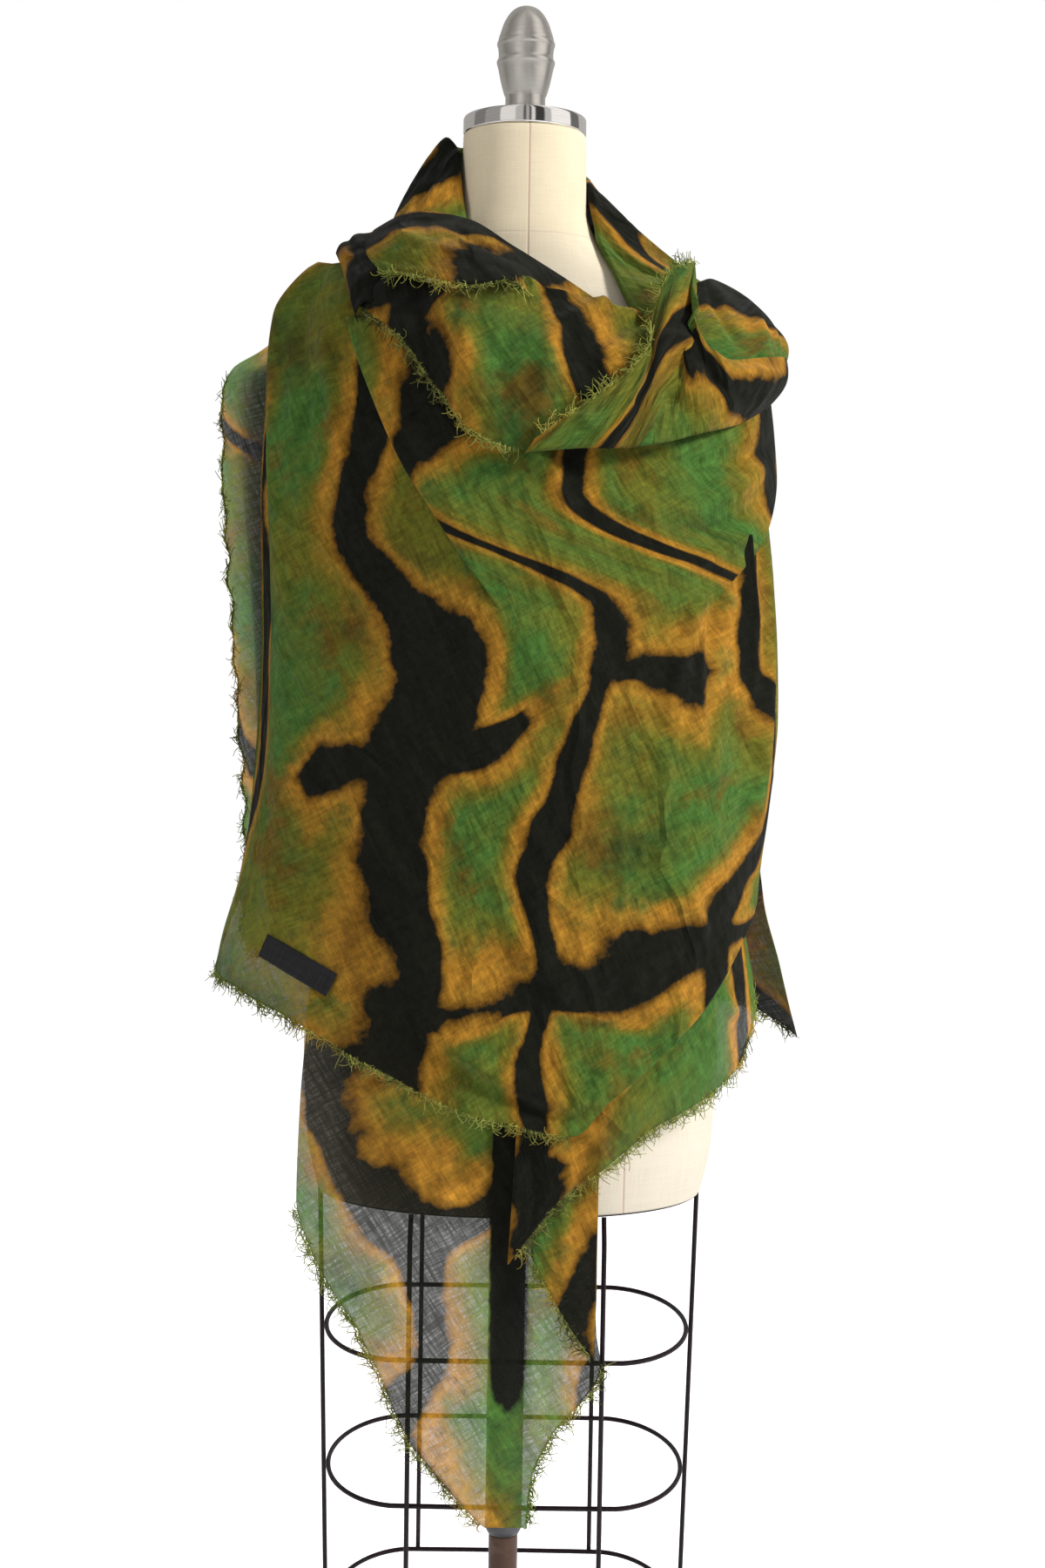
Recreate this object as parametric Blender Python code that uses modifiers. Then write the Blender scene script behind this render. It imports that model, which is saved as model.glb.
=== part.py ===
"""A linen shawl wound round the shoulders of a dress form that stands on a pole and a round base.

Metres, +Z up, the front towards -Y. The origin is on the floor, under the pole.
A turn is an angle in degrees about the form's upright axis: 0 at the front, positive towards +X,
so the left side is at -90, the right side at 90 and the back at 180 or -180.
A reach is a distance from that axis.
"""

import math

import bmesh
import bpy
from mathutils import Vector

# Cloth
WALL = 0.0018
LABEL_WALL = 0.0008
SEAM_GAP = 0.0003
SECTION_ROUNDNESS = 0.92

# Frayed edges
STRAND_PITCH = 0.013
STRAND_LENGTH = 0.010
STRAND_ROOT = 0.0024
STRAND_TIP = 0.0005
STRIP_GAP = 0.0008
STRIP_DEPTH = 0.0015
STRIP_THICKNESS = 0.0012

# Stand
BASE_RADIUS = 0.200
BASE_HEIGHT = 0.018
BASE_HUB_RADIUS = 0.030
BASE_HUB_HEIGHT = 0.040
POLE_RADIUS = 0.0123
SLEEVE_RADIUS = 0.0155
SLEEVE_LOW = 0.366
TORSO_LOW = 0.657
NECK_TOP = 1.527
CAP_RADIUS = 0.0503
CAP_HEIGHT = 0.0138

# Cage under the torso
WIRE_RADIUS = 0.002
RING_HEIGHTS = (0.541, 0.422, 0.300)
CAGE_LOW = 0.298
WIRE_SIDE_TOP = 0.1585
WIRE_SIDE_LOW = 0.1505
WIRE_DEPTH_TOP = 0.1105
WIRE_DEPTH_LOW = 0.1080
WIRE_HALF_SPACING = 0.077
RING_INSET = 0.0045
RING_END_LENGTH = 0.067
RING_POINTS = 36

LINEN = (0.80, 0.74, 0.64)
BLACK = (0.012, 0.012, 0.013)
GREEN = (0.05, 0.19, 0.03)
OLIVE = (0.17, 0.20, 0.02)
OCHRE = (0.42, 0.20, 0.03)
METAL = (0.62, 0.61, 0.58)
IRON = (0.03, 0.03, 0.035)


def table(columns, *rows):
    """A short table, as one tuple of numbers for each named column. The first column ascends."""
    return dict(zip(columns.split(), zip(*rows)))


# Half widths and depths of the torso at each height.
TORSO = table(
    "z side front back",
    (0.657, 0.160, 0.110, 0.110),
    (0.700, 0.169, 0.114, 0.116),
    (0.780, 0.173, 0.112, 0.120),
    (0.870, 0.158, 0.102, 0.108),
    (0.980, 0.126, 0.088, 0.086),
    (1.080, 0.134, 0.096, 0.088),
    (1.235, 0.156, 0.116, 0.094),
    (1.300, 0.162, 0.104, 0.094),
    (1.350, 0.166, 0.084, 0.088),
    (1.385, 0.150, 0.066, 0.076),
    (1.405, 0.116, 0.056, 0.066),
    (1.425, 0.078, 0.052, 0.058),
    (1.445, 0.059, 0.051, 0.054),
    (1.465, 0.052, 0.050, 0.051),
    (1.527, 0.050, 0.050, 0.050),
)

# Half widths and depths of the cloth that hangs round the torso.
DRAPE = table(
    "z left right front back",
    (0.730, 0.250, 0.194, 0.150, 0.140),
    (0.800, 0.252, 0.197, 0.150, 0.138),
    (0.860, 0.243, 0.201, 0.150, 0.135),
    (0.920, 0.227, 0.204, 0.150, 0.130),
    (0.980, 0.218, 0.211, 0.150, 0.127),
    (1.050, 0.212, 0.217, 0.152, 0.124),
    (1.110, 0.210, 0.215, 0.155, 0.122),
    (1.180, 0.211, 0.209, 0.156, 0.125),
    (1.240, 0.212, 0.202, 0.152, 0.126),
    (1.300, 0.210, 0.198, 0.144, 0.122),
    (1.340, 0.209, 0.196, 0.132, 0.115),
    (1.370, 0.206, 0.187, 0.121, 0.107),
    (1.390, 0.197, 0.172, 0.111, 0.099),
    (1.405, 0.182, 0.152, 0.101, 0.091),
    (1.415, 0.158, 0.132, 0.093, 0.084),
    (1.424, 0.128, 0.110, 0.086, 0.078),
)

# The largest soft folds of the hanging cloth: a ridge where lift is positive, a trough where not.
FOLDS = table(
    "top_z top_turn low_z low_turn width lift",
    (1.180, 0.0, 0.900, 30.0, 10.0, 0.004),
    (1.160, 42.0, 0.820, 34.0, 9.0, 0.006),
    (1.150, 46.0, 0.900, 62.0, 9.0, -0.006),
    (1.300, -62.0, 0.860, -52.0, 9.0, 0.006),
    (1.320, -78.0, 0.880, -76.0, 8.0, -0.005),
    (1.020, -34.0, 0.740, 4.0, 9.0, 0.006),
    (0.960, -10.0, 0.740, 16.0, 8.0, -0.005),
    (1.380, 130.0, 0.780, 122.0, 9.0, 0.009),
    (1.380, 152.0, 0.780, 150.0, 8.0, -0.007),
    (1.390, 178.0, 0.790, 182.0, 11.0, 0.010),
    (1.380, 206.0, 0.790, 212.0, 9.0, -0.008),
    (1.370, 232.0, 0.800, 236.0, 9.0, 0.009),
    (1.200, 166.0, 0.760, 164.0, 7.0, -0.006),
)

# Upper and lower edges of the front panel, and of the back drape.
PANEL = table(
    "turn top hem",
    (-110.0, 1.419, 0.960),
    (-97.0, 1.420, 0.888),
    (-87.0, 1.422, 0.846),
    (-62.0, 1.420, 0.834),
    (-41.0, 1.398, 0.815),
    (-21.0, 1.340, 0.779),
    (-3.0, 1.315, 0.746),
    (13.0, 1.312, 0.733),
    (22.0, 1.312, 0.760),
    (47.0, 1.316, 0.822),
    (68.0, 1.335, 0.880),
    (85.0, 1.355, 0.912),
    (104.0, 1.366, 0.960),
)
BACK_HEM = table(
    "share hem",
    (0.0, 0.783),
    (0.14, 0.812),
    (0.45, 0.790),
    (0.75, 0.815),
    (1.0, 0.850),
)
# Where the back drape starts and stops, how far its raw edge flares out on the left, and how far
# its low corner flares out on the right.
BACK_SIDES = table(
    "z right left left_flare right_flare",
    (0.780, 97.0, 246.0, 0.000, 0.050),
    (0.840, 97.0, 248.0, 0.000, 0.030),
    (0.900, 99.0, 256.0, 0.004, 0.012),
    (0.980, 105.0, 264.0, 0.010, 0.004),
    (1.060, 105.0, 268.0, 0.021, 0.000),
    (1.200, 105.0, 269.0, 0.031, 0.000),
    (1.316, 105.0, 269.0, 0.036, 0.000),
    (1.334, 105.0, 268.0, 0.031, 0.000),
    (1.355, 105.0, 258.0, 0.014, 0.000),
    (1.376, 105.0, 249.3, 0.005, 0.000),
    (1.400, 104.0, 249.3, 0.000, 0.000),
    (1.424, 101.0, 249.3, 0.000, 0.000),
)

# The folded layer across the chest, from its top to where it runs into the panel.
CHEST = table(
    "step left_turn left_z right_turn right_z lift",
    (0.00, -37.0, 1.364, 92.0, 1.312, 0.0075),
    (0.25, -30.0, 1.310, 89.0, 1.285, 0.0095),
    (0.50, -21.3, 1.249, 79.0, 1.245, 0.0105),
    (0.68, -13.4, 1.203, 63.0, 1.198, 0.0095),
    (0.85, -5.5, 1.155, 50.0, 1.165, 0.0070),
    (1.00, 1.4, 1.111, 42.4, 1.141, 0.0045),
)

# Bands of cloth, by their upper and lower edges. The belly is how far the band swells between them.
BAND_COLUMNS = "step top_turn top_reach top_z low_turn low_reach low_z belly"
COLLAR = table(
    BAND_COLUMNS,
    (0.00, -314.0, 0.130, 1.364, -303.0, 0.143, 1.378, 0.000),
    (0.06, -306.0, 0.096, 1.404, -297.0, 0.136, 1.394, 0.000),
    (0.12, -295.0, 0.068, 1.445, -290.0, 0.130, 1.410, -0.004),
    (0.22, -272.0, 0.055, 1.488, -270.0, 0.122, 1.424, -0.007),
    (0.34, -240.0, 0.059, 1.502, -240.0, 0.116, 1.421, 0.002),
    (0.52, -180.0, 0.068, 1.520, -180.0, 0.104, 1.410, 0.010),
    (0.74, -120.0, 0.070, 1.525, -120.0, 0.118, 1.428, 0.006),
    (0.84, -95.0, 0.064, 1.523, -92.0, 0.114, 1.440, 0.003),
    (0.93, -74.0, 0.0575, 1.508, -70.0, 0.113, 1.443, 0.002),
    (1.00, -48.0, 0.0620, 1.448, -52.0, 0.111, 1.434, 0.000),
)
INNER = table(
    BAND_COLUMNS,
    (0.000, -68.0, 0.128, 1.441, -43.0, 0.161, 1.397, 0.005),
    (0.160, -50.0, 0.114, 1.450, -31.0, 0.163, 1.391, 0.006),
    (0.360, -26.0, 0.101, 1.442, -16.0, 0.163, 1.381, 0.009),
    (0.571, -4.0, 0.099, 1.420, -2.0, 0.157, 1.383, 0.007),
    (0.643, 3.5, 0.101, 1.412, 4.0, 0.1435, 1.3805, 0.005),
    (0.714, 10.0, 0.105, 1.404, 9.0, 0.134, 1.370, 0.003),
    (0.800, 17.0, 0.110, 1.395, 16.0, 0.131, 1.360, 0.002),
    (1.000, 34.0, 0.126, 1.370, 32.0, 0.136, 1.348, 0.000),
)
COWL = table(
    BAND_COLUMNS,
    (0.00, -41.0, 0.146, 1.396, -43.0, 0.168, 1.376, 0.001),
    (0.14, -33.0, 0.145, 1.391, -32.0, 0.169, 1.341, 0.006),
    (0.27, -24.0, 0.146, 1.387, -22.4, 0.170, 1.307, 0.010),
    (0.40, -14.0, 0.147, 1.383, -12.6, 0.172, 1.273, 0.012),
    (0.54, 0.0, 0.146, 1.378, 1.0, 0.175, 1.257, 0.012),
    (0.70, 14.0, 0.147, 1.375, 14.0, 0.176, 1.266, 0.010),
    (0.84, 26.0, 0.150, 1.370, 26.0, 0.178, 1.286, 0.007),
    (1.00, 40.0, 0.153, 1.356, 40.0, 0.178, 1.320, 0.002),
)
ROLL_FRONT = table(
    BAND_COLUMNS,
    (0.00, 3.5, 0.184, 1.263, 2.0, 0.183, 1.256, 0.000),
    (0.14, 12.0, 0.188, 1.282, 8.0, 0.185, 1.258, 0.002),
    (0.28, 20.0, 0.189, 1.301, 15.0, 0.189, 1.260, 0.005),
    (0.38, 31.0, 0.182, 1.331, 20.5, 0.192, 1.261, 0.007),
    (0.46, 38.0, 0.165, 1.366, 25.0, 0.194, 1.263, 0.007),
    (0.54, 59.5, 0.157, 1.413, 29.0, 0.197, 1.265, 0.006),
    (0.62, 50.0, 0.171, 1.385, 35.0, 0.200, 1.269, 0.008),
    (0.70, 46.0, 0.186, 1.358, 42.0, 0.204, 1.275, 0.011),
    (0.76, 47.0, 0.198, 1.337, 48.0, 0.206, 1.281, 0.012),
    (0.82, 51.5, 0.208, 1.323, 55.0, 0.208, 1.290, 0.009),
    (0.87, 64.0, 0.215, 1.330, 66.0, 0.212, 1.305, 0.006),
    (0.91, 82.0, 0.219, 1.343, 83.0, 0.216, 1.322, 0.004),
    (0.955, 104.0, 0.214, 1.352, 104.0, 0.211, 1.336, 0.002),
    (1.00, 129.0, 0.164, 1.356, 128.0, 0.164, 1.342, 0.001),
)
ROLL_BACK = table(
    BAND_COLUMNS,
    (0.00, 66.0, 0.148, 1.400, 50.0, 0.160, 1.350, 0.000),
    (0.16, 79.0, 0.157, 1.409, 51.0, 0.176, 1.341, 0.004),
    (0.34, 90.0, 0.180, 1.403, 57.0, 0.194, 1.322, 0.010),
    (0.52, 96.0, 0.197, 1.395, 67.0, 0.203, 1.327, 0.010),
    (0.66, 101.0, 0.206, 1.388, 84.0, 0.208, 1.340, 0.008),
    (0.77, 111.0, 0.184, 1.391, 106.0, 0.202, 1.356, 0.004),
    (0.88, 128.0, 0.140, 1.400, 126.0, 0.164, 1.364, 0.002),
    (1.00, 156.0, 0.099, 1.417, 150.0, 0.121, 1.388, 0.000),
)
UNDER = table(
    BAND_COLUMNS,
    (0.00, 5.0, 0.138, 0.800, 1.0, 0.139, 0.631, 0.000),
    (0.10, 10.0, 0.139, 0.810, 9.0, 0.140, 0.657, 0.000),
    (0.24, 19.0, 0.142, 0.820, 18.8, 0.146, 0.687, 0.000),
    (0.36, 28.0, 0.145, 0.830, 27.6, 0.153, 0.702, 0.000),
    (0.52, 42.0, 0.153, 0.850, 41.5, 0.164, 0.731, 0.002),
    (0.76, 68.0, 0.174, 0.880, 68.0, 0.188, 0.764, 0.002),
    (0.90, 82.0, 0.184, 0.900, 82.0, 0.200, 0.796, 0.000),
    (1.00, 94.0, 0.186, 0.920, 94.0, 0.204, 0.836, 0.000),
)

# The rolled ear on the left shoulder: its axis, its radius on the left, how many times wider it is
# on the right, where it lies under the cowl, and the arc that the cloth covers.
EAR = table(
    "step x y z radius right start stop",
    (0.00, -0.130, 0.014, 1.424, 0.013, 1.2, 10.0, 170.0),
    (0.35, -0.131, -0.030, 1.421, 0.020, 1.9, 12.0, 165.0),
    (0.65, -0.123, -0.080, 1.400, 0.0175, 2.0, 5.0, 165.0),
    (1.00, -0.116, -0.120, 1.362, 0.011, 1.0, -30.0, 170.0),
)

# The tail by its two edges. It hangs deepest in the middle, and the pleat runs down it there.
TAIL = table(
    "z left right",
    (0.413, -0.014, 0.018),
    (0.451, -0.050, 0.021),
    (0.486, -0.077, 0.035),
    (0.543, -0.104, 0.075),
    (0.571, -0.119, 0.071),
    (0.620, -0.151, 0.069),
    (0.670, -0.168, 0.069),
    (0.740, -0.166, 0.070),
    (0.840, -0.158, 0.072),
)
TAIL_DEPTH = 0.122
TAIL_SWEEP = 0.024
TAIL_HALF_WIDTH = 0.170
PLEAT_LEFT = -0.012
PLEAT_RIGHT = 0.016
PLEAT_DEPTH = 0.005
PLEAT_SLOPE = 0.006
TAIL_FOLD = table(
    "x top low",
    (0.019, 0.745, 0.634),
    (0.035, 0.745, 0.604),
    (0.052, 0.745, 0.575),
    (0.069, 0.745, 0.551),
)
TAIL_FOLD_DEPTH = 0.1325
TAIL_FOLD_SWEEP = 1.6

LABEL_LENGTH = 0.062
LABEL_WIDTH = 0.020
LABEL_TILT = 25.0
LABEL_X = -0.166
LABEL_Z = 0.858


def read(rows, column, at):
    """The column's value at this place in the first column, on a smooth curve with no overshoot."""
    keys = next(iter(rows.values()))
    values = rows[column]
    if at <= keys[0]:
        return values[0]
    if at >= keys[-1]:
        return values[-1]
    low = max(n for n in range(len(keys) - 1) if keys[n] <= at)
    span = keys[low + 1] - keys[low]
    share = (at - keys[low]) / span
    start = slope_at(keys, values, low) * span
    stop = slope_at(keys, values, low + 1) * span
    step = values[low + 1] - values[low]
    bend = share * (1 - share)
    return values[low] + step * share**2 * (3 - 2 * share) + bend * (
        start * (1 - share) - stop * share
    )


def slope_at(keys, values, n):
    """The curve's slope at row n: flat at a peak or an end, else between its neighbours' slopes."""
    if n in (0, len(keys) - 1):
        inner = min(max(n, 1), len(keys) - 1)
        return (values[inner] - values[inner - 1]) / (keys[inner] - keys[inner - 1])
    before = (values[n] - values[n - 1]) / (keys[n] - keys[n - 1])
    after = (values[n + 1] - values[n]) / (keys[n + 1] - keys[n])
    if before * after <= 0:
        return 0.0
    return 2 * before * after / (before + after)


def between(start, stop, share):
    return start + (stop - start) * share


def smooth_step(value):
    value = min(max(value, 0.0), 1.0)
    return value * value * (3 - 2 * value)


def polar(turn, reach, z):
    angle = math.radians(turn)
    return Vector((reach * math.sin(angle), -reach * math.cos(angle), z))


def rounded_section(turn, side, depth, z):
    """A point on a softly squared oval of these half sizes."""
    sine = math.sin(math.radians(turn))
    cosine = math.cos(math.radians(turn))
    x = side * math.copysign(abs(sine) ** SECTION_ROUNDNESS, sine)
    y = -depth * math.copysign(abs(cosine) ** SECTION_ROUNDNESS, cosine)
    return Vector((x, y, z))


def fold_lift(turn, z):
    """How far the soft folds stand out of the hanging cloth at this place."""
    lift = 0.0
    for top_z, top_turn, low_z, low_turn, width, height in zip(*FOLDS.values()):
        share = (top_z - z) / (top_z - low_z)
        if not 0 < share < 1:
            continue
        side = (turn - between(top_turn, low_turn, share)) / width
        lift += height * math.sin(math.pi * share) * math.exp(-side * side)
    return lift


def drape_point(turn, z, lift=0.0):
    """A point of the hanging cloth, moved out by lift."""
    out = lift + fold_lift(turn, z)
    side = read(DRAPE, "left" if math.sin(math.radians(turn)) < 0 else "right", z)
    depth = read(DRAPE, "front" if math.cos(math.radians(turn)) > 0 else "back", z)
    return rounded_section(turn, side + out, depth + out, z)


def panel_point(across, down):
    turn = between(PANEL["turn"][0], PANEL["turn"][-1], across)
    z = between(read(PANEL, "top", turn), read(PANEL, "hem", turn), down)
    return drape_point(turn, z)


def back_point(across, down):
    """The back drape, from its low corner on the right round to its raw edge on the left."""
    z = between(DRAPE["z"][-1], read(BACK_HEM, "hem", across), down)
    turn = between(read(BACK_SIDES, "right", z), read(BACK_SIDES, "left", z), across)
    left_flare = read(BACK_SIDES, "left_flare", z) * smooth_step((turn - 205.0) / 60.0)
    right_flare = read(BACK_SIDES, "right_flare", z) * smooth_step((122.0 - turn) / 25.0)
    return drape_point(turn, z, left_flare + right_flare)


def chest_point(across, down):
    left = read(CHEST, "left_turn", down), read(CHEST, "left_z", down)
    right = read(CHEST, "right_turn", down), read(CHEST, "right_z", down)
    turn = between(left[0], right[0], across)
    z = between(left[1], right[1], across)
    return drape_point(turn, z, read(CHEST, "lift", down))


def band_point(rows, across, down):
    """A point of a band of cloth between its upper and lower edges."""
    turn = between(read(rows, "top_turn", across), read(rows, "low_turn", across), down)
    reach = between(read(rows, "top_reach", across), read(rows, "low_reach", across), down)
    z = between(read(rows, "top_z", across), read(rows, "low_z", across), down)
    belly = read(rows, "belly", across) * math.sin(math.pi * down)
    return polar(turn, reach + belly, z)


def ear_point(around, along):
    """The ear is an open roll: an arc about an axis that runs over the shoulder."""
    centre = Vector([read(EAR, axis, along) for axis in "xyz"])
    angle = math.radians(between(read(EAR, "start", along), read(EAR, "stop", along), around))
    radius = read(EAR, "radius", along)
    wider = read(EAR, "right", along) if math.cos(angle) < 0 else 1.0
    return centre + radius * Vector((-wider * math.cos(angle), 0.0, math.sin(angle)))


def tail_depth(x):
    return TAIL_DEPTH - TAIL_SWEEP * (x / TAIL_HALF_WIDTH) ** 2


def tail_point(across, down):
    z = between(TAIL["z"][-1], TAIL["z"][0], down)
    x = between(read(TAIL, "left", z), read(TAIL, "right", z), across)
    into = smooth_step((x - PLEAT_LEFT + PLEAT_SLOPE) / PLEAT_SLOPE)
    out = smooth_step((x - PLEAT_RIGHT) / PLEAT_SLOPE)
    return Vector((x, -tail_depth(x) - PLEAT_DEPTH * (1 - into + out), z))


def tail_fold_point(across, down):
    inner, outer = TAIL_FOLD["x"][0], TAIL_FOLD["x"][-1]
    x = between(inner, outer, across)
    z = between(read(TAIL_FOLD, "top", x), read(TAIL_FOLD, "low", x), down)
    return Vector((x, -TAIL_FOLD_DEPTH + TAIL_FOLD_SWEEP * (x - inner) ** 2, z))


def label_point(across, down):
    """The label lies on the front panel, on points of the panel moved out."""
    tilt = math.radians(LABEL_TILT)
    along = LABEL_LENGTH * (across - 0.5)
    up = LABEL_WIDTH * (0.5 - down)
    x = LABEL_X + along * math.cos(tilt) + up * math.sin(tilt)
    z = LABEL_Z - along * math.sin(tilt) + up * math.cos(tilt)
    share = abs(x) / read(DRAPE, "left", z)
    turn = -math.degrees(math.asin(min(share, 1.0) ** (1 / SECTION_ROUNDNESS)))
    return drape_point(turn, z, WALL / 2 + LABEL_WALL / 2 + 2 * SEAM_GAP)


def clear_scene():
    for obj in list(bpy.data.objects):
        bpy.data.objects.remove(obj, do_unlink=True)


def make_material(name, colour, roughness, metallic=0.0):
    material = bpy.data.materials.new(name)
    material.use_nodes = True
    material.diffuse_color = (*colour, 1.0)
    shader = material.node_tree.nodes["Principled BSDF"]
    shader.inputs["Base Color"].default_value = (*colour, 1.0)
    shader.inputs["Roughness"].default_value = roughness
    shader.inputs["Metallic"].default_value = metallic
    return material


def add_object(name, data, colour, roughness=0.9, metallic=0.0):
    """Links the object to the part's collection with a material of its own."""
    obj = bpy.data.objects.new(name, data)
    obj.data.materials.append(make_material(name, colour, roughness, metallic))
    bpy.data.collections["shawl_on_form"].objects.link(obj)
    return obj


def add_cloth(name, point, across, down, colour, wall=WALL):
    """A grid of point(across, down), both from 0 to 1, thickened into a closed wall."""
    spots = [point(i / across, j / down) for j in range(down + 1) for i in range(across + 1)]
    faces = []
    for j in range(down):
        for i in range(across):
            corner = j * (across + 1) + i
            faces.append((corner, corner + across + 1, corner + across + 2, corner + 1))
    mesh = bpy.data.meshes.new(name)
    mesh.from_pydata(spots, [], faces)
    mesh.shade_smooth()
    obj = add_object(name, mesh, colour)
    solid = obj.modifiers.new("wall", "SOLIDIFY")
    solid.thickness = wall
    solid.offset = 0.0
    return obj


def edge_of(point, cells, side, start=0.0, stop=1.0):
    """Walks one side of a cloth, along the straight edges between its grid's corners.

    A share from 0 to 1 gives a point there, the way along the side and the way out of the cloth.
    """
    inward = 0.02
    places = {
        "low": lambda at, depth: point(at, 1.0 - depth),
        "top": lambda at, depth: point(at, depth),
        "left": lambda at, depth: point(depth, at),
        "right": lambda at, depth: point(1.0 - depth, at),
    }
    spot_at = places[side]

    def walk(share):
        at = between(start, stop, share)
        cell = min(max(math.floor(at * cells), 0), cells - 1)
        low, high = spot_at(cell / cells, 0.0), spot_at((cell + 1) / cells, 0.0)
        spot = low.lerp(high, at * cells - cell)
        along = (high - low).normalized()
        out = spot_at((cell + 0.5) / cells, 0.0) - spot_at((cell + 0.5) / cells, inward)
        out -= along * out.dot(along)
        return spot, along, out.normalized()

    return walk


def edge_length(walk, steps=40):
    spots = [walk(n / steps)[0] for n in range(steps + 1)]
    return sum((b - a).length for a, b in zip(spots, spots[1:]))


def add_fringe(name, walk, colour):
    """A narrow strip just off the cloth's edge, with strands of four sides grown from it."""
    length = edge_length(walk)
    strands = max(3, round(length / STRAND_PITCH))
    root_share = STRAND_ROOT / length
    spots, faces = [], []
    for n in range(strands):
        middle = (n + 0.5) / strands
        for share in (middle - root_share / 2, middle + root_share / 2):
            spots += strip_section(walk, share)
    stations = 2 * strands
    for n in range(stations - 1):
        a, b = 4 * n, 4 * n + 4
        for side in range(4):
            if side == 2 and n % 2 == 0:
                continue
            nxt = (side + 1) % 4
            faces.append((a + side, b + side, b + nxt, a + nxt))
    last = 4 * (stations - 1)
    faces += [(0, 1, 2, 3), (last + 3, last + 2, last + 1, last)]
    for n in range(strands):
        add_strand(spots, faces, walk, n, strands)
    mesh = bpy.data.meshes.new(name)
    mesh.from_pydata(spots, [], faces)
    shape = bmesh.new()
    shape.from_mesh(mesh)
    bmesh.ops.recalc_face_normals(shape, faces=shape.faces)
    shape.to_mesh(mesh)
    shape.free()
    return add_object(name, mesh, colour)


def strip_section(walk, share):
    """Four corners of the strip: inner and outer at its top, then outer and inner at its foot."""
    spot, along, out = walk(share)
    face = along.cross(out) * STRIP_THICKNESS / 2
    top = spot + out * STRIP_GAP
    foot = top + out * STRIP_DEPTH
    return [top - face, top + face, foot + face, foot - face]


def add_strand(spots, faces, walk, n, strands):
    """One strand, as a tapered bar on the strip's foot, leaning a little to either side."""
    share = (n + 0.5) / strands
    spot, along, out = walk(share)
    face = along.cross(out)
    length = STRAND_LENGTH * (0.86 + 0.14 * math.sin(2.3 * n))
    tip = spot + out * length + along * 0.0022 * math.sin(1.7 * n + 0.5)
    root = [8 * n + 2, 8 * n + 3, 8 * n + 7, 8 * n + 6]
    first = len(spots)
    half = STRAND_TIP / 2
    spots += [
        tip - along * half + face * half,
        tip - along * half - face * half,
        tip + along * half - face * half,
        tip + along * half + face * half,
    ]
    for side in range(4):
        nxt = (side + 1) % 4
        faces.append((root[side], root[nxt], first + nxt, first + side))
    faces.append((first, first + 1, first + 2, first + 3))


def band(rows):
    return lambda across, down: band_point(rows, across, down)


# Each stretch of cloth: its surface, its grid's cells across and down, and its main colour.
CLOTHS = {
    "back_drape": (back_point, 22, 14, GREEN),
    "front_panel": (panel_point, 30, 20, GREEN),
    "chest_drape": (chest_point, 16, 10, OLIVE),
    "shoulder_fold": (ear_point, 7, 6, BLACK),
    "collar": (band(COLLAR), 26, 4, GREEN),
    "cowl_inner": (band(INNER), 14, 3, GREEN),
    "cowl_front": (band(COWL), 15, 6, BLACK),
    "roll_front": (band(ROLL_FRONT), 24, 6, BLACK),
    "roll_back": (band(ROLL_BACK), 16, 5, OCHRE),
    "under_fold": (band(UNDER), 16, 5, GREEN),
    "tail": (tail_point, 18, 14, OLIVE),
    "tail_fold": (tail_fold_point, 5, 6, GREEN),
}

# Each frayed edge: its cloth, the side of it, the stretch that is frayed, and its main colour.
FRINGES = {
    "fringe_back_edge": ("back_drape", "right", 0.17, 0.72, BLACK),
    "fringe_back_hem": ("back_drape", "low", 0.01, 0.99, OCHRE),
    "fringe_hem": ("front_panel", "low", 0.11, 0.57, OCHRE),
    "fringe_cowl": ("cowl_front", "low", 0.02, 0.53, OCHRE),
    "fringe_inner": ("cowl_inner", "low", 0.02, 0.56, GREEN),
    "fringe_flap": ("roll_front", "top", 0.03, 0.53, OLIVE),
    "fringe_under": ("under_fold", "low", 0.02, 0.98, OLIVE),
    "fringe_tail_left": ("tail", "left", 0.42, 0.99, BLACK),
    "fringe_tail_right": ("tail", "right", 0.70, 0.97, OCHRE),
    "fringe_tail_fold": ("tail_fold", "low", 0.04, 0.96, GREEN),
}


def add_shawl():
    for name, (point, across, down, colour) in CLOTHS.items():
        add_cloth(name, point, across, down, colour)
    add_cloth("label", label_point, 6, 2, BLACK, LABEL_WALL)
    for name, (cloth, side, start, stop, colour) in FRINGES.items():
        point, across, down, _ = CLOTHS[cloth]
        cells = across if side in ("low", "top") else down
        add_fringe(name, edge_of(point, cells, side, start, stop), colour)


def add_torso():
    """A smooth closed loft from the flat underside to the flat top of the neck."""
    levels, around = 26, 28
    shape = bmesh.new()
    rings = []
    for level in range(levels + 1):
        z = between(TORSO_LOW, NECK_TOP, level / levels)
        side, front, back = (read(TORSO, column, z) for column in ("side", "front", "back"))
        ring = []
        for n in range(around):
            turn = 360.0 * n / around
            depth = front if math.cos(math.radians(turn)) > 0 else back
            ring.append(shape.verts.new(rounded_section(turn, side, depth, z)))
        rings.append(ring)
    for low, high in zip(rings, rings[1:]):
        for n in range(around):
            nxt = (n + 1) % around
            shape.faces.new((low[n], low[nxt], high[nxt], high[n]))
    shape.faces.new(list(reversed(rings[0])))
    shape.faces.new(rings[-1])
    mesh = bpy.data.meshes.new("torso")
    shape.to_mesh(mesh)
    shape.free()
    mesh.shade_smooth()
    return add_object("torso", mesh, LINEN)


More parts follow.
